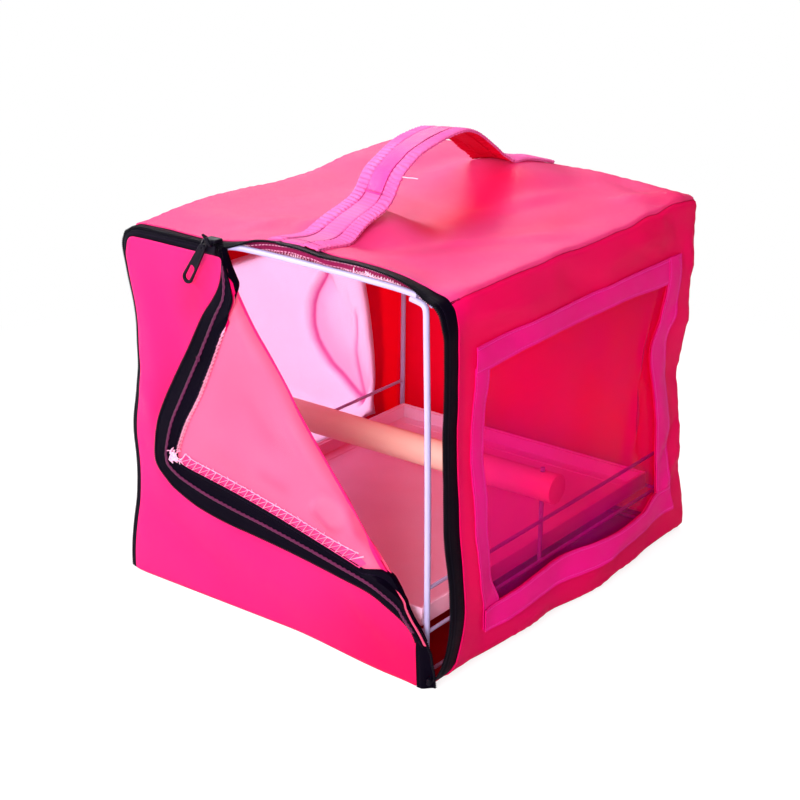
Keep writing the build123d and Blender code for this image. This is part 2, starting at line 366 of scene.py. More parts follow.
def makeCloth(name, tone):
    material, tree, output = startMaterial(name)
    where = weaveMap(tree)
    place = objectMap(tree)
    mottle = useGroup(tree, "mottle", Vector=place)
    weave = useGroup(tree, "weave", Vector=where, Threads=tone["threads"])
    colour = tint(tree, mottle.outputs["Cloud"], tone["deep"], tone["light"])
    # painted shade in the weave's gaps
    recessShade = tuple(0.72 * c for c in tone["deep"])
    colour = tintOver(tree, sums(tree, "MULTIPLY", weave.outputs["Gap"], 0.55), colour, recessShade)
    passing = (*tone["through"], 1)
    if "shade" in tone:
        # painted shade, by the weights written with the sheet in its turn layer: in creases and dimples,
        # under the handle and towards the shaded parts
        turn = put(tree, "SeparateXYZ", {0: put(tree, "UVMap", uv_map="turn").outputs["UV"]})
        colour = tintOver(tree, turn.outputs["X"], colour, tone["shade"])
        passing = tint(tree, turn.outputs["X"], tone["through"],
            tuple(a * b for a, b in zip(tone["through"], tone["shade"])))
    rough = sums(tree, "MULTIPLY_ADD", mottle.outputs["Speck"], 0.16, tone["rough"] - 0.08)
    normal = bump(tree, mottle.outputs["Speck"], 0.00025, 0.35)
    normal = bump(tree, weave.outputs["Height"], 0.00012, 0.6, normal)
    front = shell(tree, colour, rough, normal, {
        "Sheen Weight": tone["sheen"], "Sheen Roughness": 0.4, "Specular IOR Level": tone["gloss"],
        "Sheen Tint": (1.0, 0.45, 0.65, 1),
    })
    glow = put(tree, "BsdfTranslucent", {"Color": passing, "Normal": normal})
    mixed = mixShaders(tree, tone["share"], front, glow)
    showOn(tree, output, mixed)
    return material


plainBand = {"rough": 0.5, "gloss": 0.05}
bands = {
    "binding": {"deep": (0.80, 0.0012, 0.15), "light": (0.90, 0.006, 0.27), "thread": (0.92, 0.03, 0.36),
        "ribs": 1100.0, "ribDeep": 0.00012, "line": 0.0018, "mirror": 0.0152},
    "webbing": {"deep": (0.72, 0.075, 0.30), "light": (0.86, 0.15, 0.42), "thread": (0.52, 0.02, 0.20),
        "ribs": 303.0, "ribDeep": 0.0002, "line": 0.0114, "mirror": 0.0266, "rough": 0.55, "gloss": 0.08},
    "satin": {"deep": (0.74, 0.016, 0.24), "light": (0.84, 0.036, 0.33), "thread": (0.52, 0.02, 0.20),
        "ribs": 2400.0, "ribDeep": 0.00004, "line": 0.0008, "mirror": 0.0192, "rough": 0.4, "gloss": 0.2},
    # the strap's underside: the webbing darkened as painted shade
    "undersideShade": {"deep": (0.55, 0.001, 0.02), "light": (0.68, 0.002, 0.035), "thread": (0.5, 0.002, 0.03),
        "ribs": 620.0, "ribDeep": 0.0002, "line": 0.0105, "mirror": 0.0275, "gloss": 0.03},
    "zipTape": {"deep": (0.0012, 0.0004, 0.003), "light": (0.003, 0.001, 0.0065),
        "thread": (0.008, 0.004, 0.014), "ribs": 1500.0, "ribDeep": 0.0001, "line": 0.0035, "mirror": 0.0035,
        "rough": 0.42, "gloss": 0.022},
    "hem": {"deep": (0.15, 0.002, 0.03), "light": (0.42, 0.012, 0.12), "thread": (0.8, 0.3, 0.5),
        "ribs": 700.0, "ribDeep": 0.0003, "line": 0.002, "mirror": 0.005, "rough": 0.6, "gloss": 0.1},
}


def makeBand(name, tone):
    material, tree, output = startMaterial(name)
    where = weaveMap(tree)
    mottle = useGroup(tree, "mottle", Vector=objectMap(tree), Broad=22.0)
    ribs = useGroup(tree, "ribs", Vector=where, Ribs=tone["ribs"], Line=tone["line"], Mirror=tone["mirror"])
    weave = useGroup(tree, "weave", Vector=where, Threads=tone["ribs"] * 1.6)
    colour = tint(tree, mottle.outputs["Cloud"], tone["deep"], tone["light"])
    # painted shade in the rib valleys
    recessShade = tuple(0.7 * c for c in tone["deep"])
    colour = tintOver(tree, sums(tree, "MULTIPLY_ADD", ribs.outputs["Rib"], -0.3, 0.3), colour, recessShade)
    colour = tintOver(tree, ribs.outputs["Stitch"], colour, tone["thread"])
    rough = sums(tree, "MULTIPLY_ADD", mottle.outputs["Speck"], 0.2, tone["rough"] - 0.1)
    normal = bump(tree, ribs.outputs["Rib"], tone["ribDeep"], 0.8)
    normal = bump(tree, weave.outputs["Height"], 0.0001, 0.4, normal)
    seam = sums(tree, "SUBTRACT", sums(tree, "MULTIPLY", ribs.outputs["Stitch"], 1.4), ribs.outputs["Trench"])
    normal = bump(tree, seam, 0.0003, 0.8, normal)
    showOn(tree, output, shell(tree, colour, rough, normal, {"Specular IOR Level": tone["gloss"]}))
    return material


plainThread = {"rough": 0.6, "coat": 0.0, "grain": 2500.0, "relief": 0.0001, "gloss": 0.15}
solids = {
    "zipCoil": {"deep": (0.001, 0.0004, 0.0025), "light": (0.003, 0.0012, 0.006), "rough": 0.34,
        "grain": 700.0, "relief": 0.00006, "gloss": 0.08},
    "zipMetal": {"deep": (0.0014, 0.0007, 0.003), "light": (0.004, 0.002, 0.008), "rough": 0.5,
        "grain": 420.0, "relief": 0.00008, "gloss": 0.09},
    "coatedWire": {"deep": (0.38, 0.31, 0.56), "light": (0.47, 0.40, 0.66), "rough": 0.32, "coat": 0.15,
        "grain": 260.0, "relief": 0.00012, "gloss": 0.4},
    # white gloss plastic, tinted pink as painted light bounced from the cloth
    "trayPlasticPinkBounce": {"deep": (0.92, 0.50, 0.72), "light": (0.98, 0.62, 0.84), "rough": 0.34, "coat": 0.05,
        "grain": 500.0, "relief": 0.00006, "gloss": 0.3},
    "paleThread": {"deep": (0.92, 0.26, 0.46), "light": (0.97, 0.46, 0.64)},
    "whiteThread": {"deep": (0.88, 0.40, 0.60), "light": (0.95, 0.74, 0.86)},
    # painted shadow for the seam lines
    "seamShadowLine": {"deep": (0.34, 0.001, 0.03), "light": (0.60, 0.003, 0.07), "gloss": 0.05},
    "plumThread": {"deep": (0.30, 0.015, 0.12), "light": (0.42, 0.03, 0.19), "rough": 0.5, "gloss": 0.2},
    # painted shade inside the perch's drilled holes
    "holeShade": {"deep": (0.05, 0.012, 0.008), "light": (0.09, 0.02, 0.012), "rough": 0.7, "grain": 900.0,
        "gloss": 0.1},
    "magentaThread": {"deep": (0.075, 0.006, 0.036), "light": (0.12, 0.010, 0.06), "rough": 0.5,
        "gloss": 0.2},
}


def makeSolid(name, tone):
    material, tree, output = startMaterial(name)
    mottle = useGroup(tree, "mottle", Vector=objectMap(tree), Broad=35.0, Fine=tone["grain"])
    colour = tint(tree, mottle.outputs["Cloud"], tone["deep"], tone["light"])
    rough = sums(tree, "MULTIPLY_ADD", mottle.outputs["Speck"], 0.25, tone["rough"] - 0.12)
    normal = bump(tree, mottle.outputs["Speck"], tone["relief"], 0.7)
    coat = {"Coat Weight": tone["coat"], "Coat Roughness": 0.2, "Specular IOR Level": tone["gloss"]}
    showOn(tree, output, shell(tree, colour, rough, normal, coat))
    return material


# natural wood, its pink tint painted light bounced from the pink cloth; fibres, rings and knots are its own
perchWoodPinkBounce = {"pale": (0.98, 0.64, 0.54), "grain": (0.95, 0.47, 0.38), "knot": (0.34, 0.10, 0.05),
    "rough": 0.55}


def makeWood():
    material, tree, output = startMaterial("perchWoodPinkBounce")
    where = objectMap(tree)
    stretched = put(tree, "Mapping", {"Vector": where, "Scale": (14.0, 260.0, 260.0)}).outputs[0]
    fibres = noiseOf(tree, stretched, 1.0, 5.0, 0.6).outputs["Fac"]
    rings = put(tree, "Mapping", {"Vector": where, "Scale": (3.0, 120.0, 60.0)}).outputs[0]
    bandsOf = put(tree, "TexWave", {"Vector": rings, "Scale": 0.35, "Distortion": 3.5, "Detail": 2.0},
        wave_type="RINGS", rings_direction="X").outputs["Fac"]
    knots = put(tree, "TexVoronoi", {"Vector": where, "Scale": 42.0, "Randomness": 1.0}).outputs["Distance"]
    knot = ramp(tree, knots, 0.03, 0.075, 0.8)
    amount = sums(tree, "MULTIPLY_ADD", fibres, 0.5, sums(tree, "MULTIPLY_ADD", bandsOf, 0.3, -0.2))
    colour = tint(tree, amount, perchWoodPinkBounce["pale"], perchWoodPinkBounce["grain"])
    colour = tintOver(tree, knot, colour, perchWoodPinkBounce["knot"])
    rough = sums(tree, "MULTIPLY_ADD", fibres, 0.25, perchWoodPinkBounce["rough"] - 0.12)
    normal = bump(tree, fibres, 0.0004, 0.5)
    showOn(tree, output, shell(tree, colour, rough, normal))
    return material


clearFilm = {"haze": 0.15, "mist": (0.74, 0.0004, 0.40), "clear": (0.86, 0.032, 0.30), "rough": 0.14,
    "shine": 0.06}


def makeFilm():
    # clear sheet: mostly see-through, a little haze, and a mirror sheen at a flat angle
    material, tree, output = startMaterial("clearFilm")
    mottle = useGroup(tree, "mottle", Vector=objectMap(tree), Broad=14.0, Fine=60.0)
    normal = bump(tree, mottle.outputs["Cloud"], 0.001, 0.3)
    haze = sums(tree, "MULTIPLY_ADD", mottle.outputs["Cloud"], clearFilm["haze"], clearFilm["haze"] * 0.4)
    clear = put(tree, "BsdfTransparent", {"Color": (*clearFilm["clear"], 1)})
    mist = shell(tree, (*clearFilm["mist"], 1), 0.4, normal, {"Specular IOR Level": 0.05})
    body = mixShaders(tree, haze, clear, mist)
    gloss = put(tree, "BsdfAnisotropic", {"Color": (1, 1, 1, 1), "Roughness": clearFilm["rough"],
        "Normal": normal})
    edge = put(tree, "Fresnel", {"IOR": 1.38, "Normal": normal})
    shine = sums(tree, "MULTIPLY", edge.outputs[0], clearFilm["shine"])
    mixed = mixShaders(tree, shine, body, gloss)
    showOn(tree, output, mixed)
    return material


names = {
    "outer": "pinkCoatedClothShaded", "front": "pinkFrontClothLit", "roof": "pinkRoofClothLitSheen",
    "inner": "pinkCoatedInsideLit",
    "lining": "redShadedBacklitInside", "mesh": "whiteFineMesh", "binding": "magentaBinding",
    "webbing": "ribbedWebbing",
    "satin": "satinStrip", "zipTape": "blackZipTape", "undersideShade": "webbingUndersideShade",
    "under": "shadedFloorLining",
    "hem": "seamAllowance",
}
finish = {}
for label, name in names.items():
    if label in clothTones:
        finish[label] = makeCloth(name, {**plainCloth, **clothTones[label]})
    else:
        finish[label] = makeBand(name, {**plainBand, **bands[label]})
finish["wood"] = makeWood()
finish["film"] = makeFilm()
for label, tone in solids.items():
    finish[label] = makeSolid(label, {**plainThread, **tone})
print("carrier: finishes made")

# the cover's soft form

cover = {
    "halfWidth": 130.0, "halfDepth": 150.0, "height": 250.0, "round": 10.0, "thick": 0.9,
    "seamDip": 1.3, "seamWidth": 1.3, "pucker": 0.22, "puckerPitch": 8.0,
}
coreLow = (cover["round"] - cover["halfWidth"], -1000.0, cover["round"])
coreHigh = (cover["halfWidth"] - cover["round"], cover["halfDepth"] - cover["round"],
    cover["height"] - cover["round"])
seamReach = cover["round"] * math.pi / 4
edgeLow = [c - seamReach for c in coreLow]
edgeHigh = [c + seamReach for c in coreHigh]

# where the cloth is drawn in or pushed out: (centre, shift, how far it reaches)
frontEdgePulls = [
    ((-130, -150, 160), (8.6, 0, 0), 62),
    ((-130, -150, 198), (3.5, 0, 0), 34),
    ((-130, -150, 80), (3.0, 0, 0), 42),
    ((-130, -150, 6), (-5.5, 0, 0), 52),
    ((-130, -150, 245), (-2.5, 0, -0.5), 26),
]
sleevePulls = frontEdgePulls + [
    ((10, -150, 250), (0, 2.5, 8.6), 76),
    ((6, -66, 250), (0, 0, 16.5), 50),
    ((76, -150, 250), (0, 1.5, 6.4), 46),
    ((130, -150, 250), (-4, 0, -4), 28),
    ((130, -150, 45), (8.0, 2.0, 0), 62),
    ((130, -150, 110), (2.5, 0, 0), 60),
    ((130, -150, 0), (0, -2.5, 0), 26),
    ((130, 112, 148), (-4.5, -2, 0), 50),
    ((130, 95, 250), (0, 0, 3.0), 80),
    ((35, 150, 250), (0, 0, 7.0), 130),
    ((2, 84, 250), (0, 0, 15.5), 68),
    ((-82, 150, 250), (0, 0, 10.0), 72),
    ((130, 150, 250), (0.4, 0.4, -1.0), 44),
    ((130, 10, 0), (4.5, 0, -1.0), 46),
    ((130, 150, 118), (-4.5, -1.0, 0), 42),
    ((130, 96, 250), (0, 0, -1.8), 13),
    ((130, 116, 250), (0, 0, 1.2), 11),
    ((130, 60, 250), (0.6, 0, -1.2), 20),
    ((130, -24, 250), (0, 0, 1.3), 26),
    ((130, -80, 250), (0.6, 0, 0.8), 30),
    ((-130, -90, 250), (0, 0, 2.6), 55),
    ((-130, -45, 250), (0, 0, 2.2), 55),
    ((-130, 100, 250), (0, 0, 5.5), 75),
    ((130, -20, 120), (2.5, 0, 0), 110),
    ((130, 60, 0), (9.0, 0, 0), 90),
    ((130, -60, 0), (4.5, 0, 0), 75),
    ((130, 150, 0), (5.0, 4.0, 0), 60),
    ((-130, 150, 130), (5, -4, 0), 90),
    ((-130, 20, 130), (-2.5, 0, 0), 110),
    ((0, 150, 120), (0, 3.0, 0), 120),
    ((0, 0, 250), (0, 0, -1.6), 90),
]
# soft creases: (start, end, width, height)
sleeveFolds = [
    ((130, 58, 240), (130, 104, 221), 4.5, 1.5),
    ((130, 100, 243), (130, 128, 226), 4, -1.4),
    ((104, 120, 250), (129, 131, 250), 4.5, 1.5),
    ((118, 100, 250), (129, 116, 250), 3.5, -1.3),
    ((130, 136, 228), (129, 147, 196), 4, 1.4),
    ((130, -118, 234), (130, -58, 226), 5, 1.2),
    ((130, -30, 236), (130, 24, 214), 6, -1.2),
    ((-60, -134, 250), (-52, -70, 250), 6, 1.0),
    ((60, -60, 250), (110, 10, 250), 7, 1.1),
    ((30, 10, 250), (70, 96, 250), 8, 1.5),
    ((-40, -20, 250), (-80, 60, 250), 9, 1.3),
    ((130, -100, 22), (130, -40, 10), 5, 1.0),
    ((130, 0, 12), (130, 60, 26), 5, 1.1),
    ((-110, -120, 250), (-20, -60, 250), 17, 1.1),
    ((-115, -20, 250), (-30, 70, 250), 20, -1.3),
    ((-120, 60, 250), (-60, 130, 250), 14, 1.0),
    ((40, -135, 250), (118, -30, 250), 15, 1.2),
    ((55, -20, 250), (125, 95, 250), 17, -1.2),
    ((95, 90, 250), (127, 140, 248), 8, 1.6),
    ((70, 132, 250), (118, 118, 250), 7, -1.0),
    ((30, 60, 250), (60, 138, 250), 12, 0.9),
    ((130, -128, 236), (130, -20, 222), 10, 1.6),
    ((130, -130, 222), (130, -60, 205), 8, -1.2),
    ((130, 10, 232), (130, 135, 236), 9, 1.4),
    ((130, 60, 222), (130, 140, 212), 7, -1.1),
    ((130, -128, 120), (130, -108, 30), 9, 1.0),
    ((130, -70, 8), (130, 20, 22), 8, 1.2),
    ((130, 30, 26), (130, 120, 12), 7, -1.2),
    ((130, 118, 40), (126, 148, 66), 6, 1.8),
    ((130, 112, 60), (128, 146, 92), 5, -1.3),
    ((128, 120, 20), (120, 150, 40), 6, 1.5),
    ((130, 120, 175), (128, 148, 160), 7, 1.6),
    ((130, 122, 130), (127, 149, 118), 6, -1.4),
    ((-130, -120, 200), (-130, -60, 60), 14, 1.2),
    ((-130, 20, 232), (-130, 130, 215), 9, 1.2),
    ((-130, 90, 20), (-130, 140, 70), 8, 1.4),
    ((-90, 150, 230), (-20, 150, 120), 16, 1.5),
    ((90, 150, 225), (30, 150, 60), 15, -1.4),
    ((-100, 150, 30), (90, 150, 20), 12, 1.2),
    ((110, 150, 190), (124, 148, 60), 9, 1.3),
]


def pulled(point, pulls):
    moved = Vector(point)
    for centre, shift, reachOf in pulls:
        away = (Vector(point) - Vector(centre)).length / reachOf
        if away < 1:
            moved += Vector(shift) * (1 - away * away) ** 2
    return moved


def foldHeight(point, folds):
    total = 0.0
    for start, end, width, height in folds:
        start, end = Vector(start), Vector(end)
        along = end - start
        part = (point - start).dot(along) / along.length_squared
        if -0.2 < part < 1.2:
            near = start + along * min(max(part, 0), 1)
            away = (point - near).length / width
            if away < 3:
                fade = ease((part + 0.15) / 0.45) * ease((1.15 - part) / 0.45)
                total += 1.5 * height * fade * math.exp(-away * away)
    return total


def unevenness(point):
    return 1.3 * noise.noise(point / 58) + 0.4 * noise.noise(point / 19 + Vector((7, 3, 1)))


def boxPoint(axis, side, places):
    # a point on the rounded box: places are lengths along the two other axes, round the edges too
    core, lean = [0.0] * 3, [0.0] * 3
    for other in range(3):
        if other != axis:
            core[other] = min(max(places[other], coreLow[other]), coreHigh[other])
            lean[other] = math.tan((places[other] - core[other]) / cover["round"])
    core[axis] = coreHigh[axis] if side > 0 else coreLow[axis]
    lean[axis] = side
    # sewn edges are sharper than the opening's
    power = 2.0 + 1.4 * ease((places[1] + 135) / 40) if axis != 1 else 3.4
    size = sum(abs(a) ** power for a in lean) ** (1 / power)
    return Vector(core) + Vector(lean) * (cover["round"] / size), Vector(lean).normalized()


def seamDistance(axis, places):
    # how far a point is from the nearest seam of its panel, and how far along that seam
    nearest, along = 1e3, 0.0
    for other in range(3):
        if other == axis:
            continue
        gaps = [edgeHigh[other] - places[other]]
        if other != 1:
            gaps.append(places[other] - coreLow[other] + seamReach)
        if min(gaps) < nearest:
            nearest = min(gaps)
            along = places[3 - axis - other]
    return max(nearest, 0), along


windowBow = {
    "front": [(10, 12), (36, 8), (60, -2), (100, -8), (142, -13), (168, -12), (197, -8), (215, -6)],
    "rear": [(10, -2), (44, -3), (80, -4), (119, -8), (150, -13), (175, -4), (198, -2), (215, -1)],
    "top": [(-110, 0), (-40, 3.5), (40, 3.5), (110, 0)],
    "bottom": [(-96, -2), (-20, 1.5), (50, -3.5), (85, -2), (112, 4)],
}


def windowShift(place, side):
    # the window's edges wander over the wall, and the wall's own edges stay
    y, z = place
    frontWeight = bell(y + 96, 30) * ease((y + 133) / 16)
    rearWeight = bell(y - 112, 28) * ease((143 - y) / 16)
    topWeight = bell(z - 196, 26) * ease((238 - z) / 20)
    bottomWeight = bell(z - 38, 22) * ease((z - 3) / 14)
    moveY = between(z, windowBow["front"]) * frontWeight + between(z, windowBow["rear"]) * rearWeight
    moveZ = between(y, windowBow["top"]) * topWeight + between(y, windowBow["bottom"]) * bottomWeight
    if side < 0:
        moveY, moveZ = moveY * 0.3 - (13 - 15 * ease((190 - z) / 130)) * rearWeight, moveZ * 0.5
    return y + moveY, z + moveZ


def sleevePoint(axis, side, places, lift=0.0, seam=True, wander=True):
    places = list(places)
    if axis == 0 and wander:
        places[1], places[2] = windowShift((places[1], places[2]), side)
    point, normal = boxPoint(axis, side, places)
    rise = lift + unevenness(point) + foldHeight(point, sleeveFolds)
    if seam:
        gap, along = seamDistance(axis, places)
        rise -= cover["seamDip"] * bell(gap, cover["seamWidth"])
        rise += cover["pucker"] * math.sin(2 * math.pi * along / cover["puckerPitch"] + 2
            * noise.noise(Vector((along / 30, axis, side)))) * bell(gap, 9)
    return pulled(point + normal * rise, sleevePulls)


def gridPiece(name, rows, flat, labels, away, thick=None, skip=None, offset=-1.0):
    # one sheet from rows of points in millimetres, with its flat lengths as the weave's map
    mesh = bpy.data.meshes.new(name)
    wide = len(rows[0])
    points = [Vector(p) * mm for row in rows for p in row]
    faces = []
    for i in range(len(rows) - 1):
        for j in range(wide - 1):
            if skip is None or not skip(i, j):
                faces.append((i * wide + j, i * wide + j + 1, (i + 1) * wide + j + 1, (i + 1) * wide + j))
    mesh.from_pydata(points, [], faces)
    lay = [Vector(p) * mm for row in flat for p in row]
    layer = mesh.uv_layers.new(name="weave")
    for loop in mesh.loops:
        layer.data[loop.index].uv = lay[loop.vertex_index].xy
    # a third number in the flat points is a painted-shade weight, kept in the turn layer
    if any(p.z for p in lay):
        layer = mesh.uv_layers.new(name="turn")
        for loop in mesh.loops:
            layer.data[loop.index].uv = (lay[loop.vertex_index].z / mm, 0)
    for label in labels:
        mesh.materials.append(finish[label])
    shape = bmesh.new()
    shape.from_mesh(mesh)
    bmesh.ops.delete(shape, geom=[v for v in shape.verts if not v.link_faces], context="VERTS")
    bmesh.ops.remove_doubles(shape, verts=shape.verts, dist=2e-6)
    bmesh.ops.delete(shape, geom=[f for f in shape.faces if f.calc_area() < 1e-12], context="FACES")
    lean = sum(f.normal.dot(Vector(away)) * f.calc_area() for f in shape.faces)
    if lean < 0:
        bmesh.ops.reverse_faces(shape, faces=shape.faces)
    shape.to_mesh(mesh)
    shape.free()
    piece = addPiece(name, mesh)
    if thick != 0:
        applyModifier(piece, "SOLIDIFY", thickness=(thick or cover["thick"]) * mm, offset=offset,
            use_even_offset=False,
                      material_offset=1 if len(labels) > 1 else 0)
    smooth(piece)
    return piece


def span(low, high, count):
    return [low + (high - low) * n / count for n in range(count + 1)]


def sheetRows(firsts, seconds, at):
    # rows of points, and the same rows on the flat cloth, as at() gives both
    cells = [[at(first, second) for second in seconds] for first in firsts]
    return [[[cell[k] for cell in row] for row in cells] for k in (0, 1)]


def fineSpan(low, high, step, closeLow=True, closeHigh=True):
    # even steps, with finer ones next to a seam
    near = [0.0, 0.7, 1.4, 2.3, 3.4, 4.8]
    places = [low + n for n in near] if closeLow else [low]
    tail = [high - n for n in reversed(near)] if closeHigh else [high]
    first, last = places[-1], tail[0]
    count = max(2, round((last - first) / step))
    return places + span(first, last, count)[1:-1] + tail


def mount(piece, body, slot, *nodes):
    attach(piece, body)
    if nodes:
        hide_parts(*nodes)


def declare(piece, body="carrier", nodes=(), slot="cover_fabric"):
    mount(piece, body, slot, *nodes)


# how much zip tape shows in front of the cloth's edge: the cloth starts at this y
tapeShow = {
    "roof": [(-127, -140), (-60, -139.5), (-35, -138), (0, -137), (60, -137), (110, -137.5), (127, -137)],
    "left": [(0, -144), (120, -144.5), (200, -146), (235, -142), (247, -140)],
    "right": [(0, -146), (4, -140), (12, -135.5), (40, -133), (80, -133.5), (150, -135.5), (220, -136),
        (247, -137)],
}


def roofShade(x, y):
    # painted shade: the cloth is darker under the handle, where its shadow falls, where the rear right corner
    # turns down, and in a broad patch towards the right
    under = bell(x - 30 + 0.12 * y, 19) * ease((y + 66) / 26) * ease((96 - y) / 30)
    corner = 0.45 * math.exp(-((x - 118) / 20) ** 2 - ((y - 128) / 26) ** 2)
    corner += 0.3 * math.exp(-((x - 84) / 16) ** 2 - ((y - 20) / 60) ** 2)
    return min(0.9 * under + corner, 1.0) + 1e-6


def makeRoof():
    # rows run across the roof, and each row goes from front to rear
    rearAt = edgeHigh[1]
    rear = [1000 - 1000 * n / 285 for n in (4.8, 3.4, 2.3, 1.4, 0.7, 0.0)]
    depth = fineSpan(0, 1000, 1000 * 4.5 / 285, closeLow=False, closeHigh=False)
    depth = [d for d in depth if d < rear[0] - 8] + rear
    rows, flat = [], []
    for x in fineSpan(edgeLow[0], edgeHigh[0], 4.5):
        front = between(x, tapeShow["roof"])
        line = [front + (rearAt - front) * d / 1000 for d in depth]
        rows.append([sleevePoint(2, 1, [x, y, 0.0]) for y in line])
        flat.append([(x, y, roofShade(x, y)) for y in line])
    piece = gridPiece("roofCloth", rows, flat, ["roof", "lining"], up)
    declare(piece, nodes=["roof_panel"])


floorPush = {"centre": 112.0, "reach": 105.0, "amount": 8.5}


def frontPush(x):
    away = (x - floorPush["centre"]) / floorPush["reach"]
    if abs(away) >= 1:
        return 0.0
    return floorPush["amount"] * (1 - away * away) ** 2 * ease((131 - x) / 14)


def makeFloor():
    across = fineSpan(edgeLow[0], edgeHigh[0], 6)
    rows, flat = [], []
    for x in across:
        row, flatRow = [], []
        front = -149.2 - frontPush(x)
        for y in span(front, -120, 8) + fineSpan(-120, edgeHigh[1], 7, closeLow=False)[1:]:
            point, normal = boxPoint(2, -1, [x, y, 0.0])
            gap = seamDistance(2, [x, y, 0.0])[0]
            point.z = max(point.z, 0.12)
            rise = cover["seamDip"] * bell(gap, cover["seamWidth"])
            moved = pulled(point - normal * rise, sleevePulls)
            row.append(Vector((moved.x, moved.y, max(moved.z, 0.12))))
            flatRow.append((x, y, 0))
        rows.append(row)
        flat.append(flatRow)
    piece = gridPiece("floorCloth", rows, flat, ["outer", "under"], -up)
    declare(piece, nodes=["floor_panel"])


windowHole = {"front": -96.0, "rear": 112.0, "low": 38.0, "high": 196.0}


def wallAcross():
    # rows of a side wall, with a row on each edge of the window
    low, high = edgeLow[2], edgeHigh[2]
    lowEdge, highEdge = windowHole["low"] - 1, windowHole["high"] + 1
    return (fineSpan(low, lowEdge, 4.5, closeHigh=False) + span(lowEdge, highEdge, 36)[1:]
            + fineSpan(highEdge, high, 4.5, closeLow=False)[1:])


def makeWall(name, side, node, face):
    frontEdge, rearEdge = windowHole["front"] - 1, windowHole["rear"] + 1
    rows, flat = [], []
    heights = wallAcross()
    rearAt = edgeHigh[1]
    counts = (10, 46)
    for z in heights:
        front = between(z, tapeShow[face])
        line = span(front, frontEdge, counts[0]) + span(frontEdge, rearEdge,
            counts[1])[1:] + fineSpan(rearEdge, rearAt, 4.5, closeLow=False)[1:]
        rows.append([sleevePoint(0, side, [0, y, z]) for y in line])
        flat.append([(y, z, 0) for y in line])

    def inWindow(i, j):
        return heights[i] > windowHole["low"] - 2 and heights[i
            + 1] < windowHole["high"] + 2 and counts[0] <= j < counts[0] + counts[1]

    piece = gridPiece(name, rows, flat, ["outer", "lining"], (side, 0, 0), skip=inWindow)
    declare(piece, nodes=[node])


def makeBack():
    across = fineSpan(edgeLow[0], edgeHigh[0], 5)
    heights = fineSpan(edgeLow[2], edgeHigh[2], 5)
    rows = [[sleevePoint(1, 1, [x, 0, z]) for x in across] for z in heights]
    flat = [[(x, z, 0) for x in across] for z in heights]
    piece = gridPiece("backCloth", rows, flat, ["outer", "lining"], (0, 1, 0))
    declare(piece, nodes=["back_wall"])


makeRoof()
makeFloor()
makeWall("leftCloth", -1, "left_wall", "left")
makeWall("rightCloth", 1, "right_wall", "right")
makeBack()
print("carrier: cover cloth made")

# windows

binding = {"width": 17.0, "lift": 0.75, "thick": 0.7, "lap": 0.8}


def bandStrip(name, side, start, end, across, lift):
    # a strip from start to end on a side wall, both (y, z), with its width along across
    start, end, across = Vector(start), Vector(end), Vector(across)
    length = (end - start).length
    count = round(length / 3.2)

    def at(n, k):
        part = k / 8
        place = start.lerp(end, n / count) + across * (part * binding["width"])
        crown = 0.35 * math.sin(math.pi * part) + 0.12 * math.sin(n * 1.1 + k)
        point = sleevePoint(0, side, [0, place.x, place.y], lift + crown, seam=False)
        return point, (length * n / count, part * binding["width"], 0)

    rows, flat = sheetRows(range(count + 1), range(9), at)
    return gridPiece(name, rows, flat, ["binding"], (side, 0, 0), thick=binding["thick"])


def makeBindings(word, side):
    w = binding["width"]
    front, rear, low, high = windowHole["front"], windowHole["rear"], windowHole["low"], windowHole["high"]
    strips = {
        "front": ((front - w, low - w + 1), (front - w, high + 4), (1, 0), 0.0),
        "top": ((front - w, high), (rear + w - 1, high), (0, 1), 0.6 * binding["lap"]),
        "rear": ((rear, low - 2), (rear, high + w), (1, 0), 1.2 * binding["lap"]),
        "bottom": ((front - w, low - w), (rear + w, low - w), (0, 1), 1.8 * binding["lap"]),
    }
    for label, (start, end, across, lap) in strips.items():
        piece = bandStrip(f"{word}Binding.{label}", side, start, end, across, binding["lift"] + lap)
        length = (Vector(end) - Vector(start)).length
        declare(piece, nodes=[f"{word}_window_binding_{label}"], slot="binding_tape")


filmFolds = [
    ((0, 70, 60), (0, 98, 190), 7, 2.6),
    ((0, 98, 60), (0, 84, 150), 5, -2.0),
    ((0, -60, 190), (0, 60, 60), 26, 1.6),
    ((0, 20, 46), (0, 104, 62), 6, 1.5),
]
meshFolds = [
    ((0, -40, 200), (0, 10, 40), 20, 1.6),
    ((0, -10, 190), (0, 22, 150), 12, -1.2),
    ((0, 10, 90), (0, 60, 60), 9, 1.2),
    ((0, 84, 150), (0, 92, 100), 6, 1.4),
]
windowSheets = {"filmMargin": 8.0, "meshMargin": 4.0, "depth": 1.7, "meshThick": 0.35}


def makeFilmSheet():
    margin = windowSheets["filmMargin"]
    ys = span(windowHole["front"] - margin, windowHole["rear"] + margin, 70)
    zs = span(windowHole["low"] - margin, windowHole["high"] + margin, 54)

    def at(z, y):
        inside = min((y - ys[0]) / 20, (ys[-1] - y) / 20, (z - zs[0]) / 20, (zs[-1] - z) / 20, 1)
        place = Vector((0, y, z))
        crumple = foldHeight(place, filmFolds) + 0.8 * noise.noise(place / 30)
        lift = -windowSheets["depth"] + crumple * ease(inside)
        return sleevePoint(0, 1, [0, y, z], lift, seam=False), (y, z, 0)

    rows, flat = sheetRows(zs, ys, at)
    piece = gridPiece("windowFilm", rows, flat, ["film"], (1, 0, 0), thick=0)
    declare(piece, nodes=["right_window_film"], slot="clear_film")


# the mesh's big curved fold and the lip behind it, as (y, z)
foldLine = [(66.3, 177.1), (56, 169.5), (50.9, 163.5), (43.5, 156), (40.2, 149), (39.2, 140), (40.1, 131),
    (44.5, 119), (51.7, 107.7), (61, 95), (72.1, 84.1), (84, 70), (93.3, 58.8), (98.4, 46.2)]
lipLine = [(99, 134), (95.5, 118), (92.5, 102), (91.5, 86), (93, 70), (95.5, 56), (98, 47)]


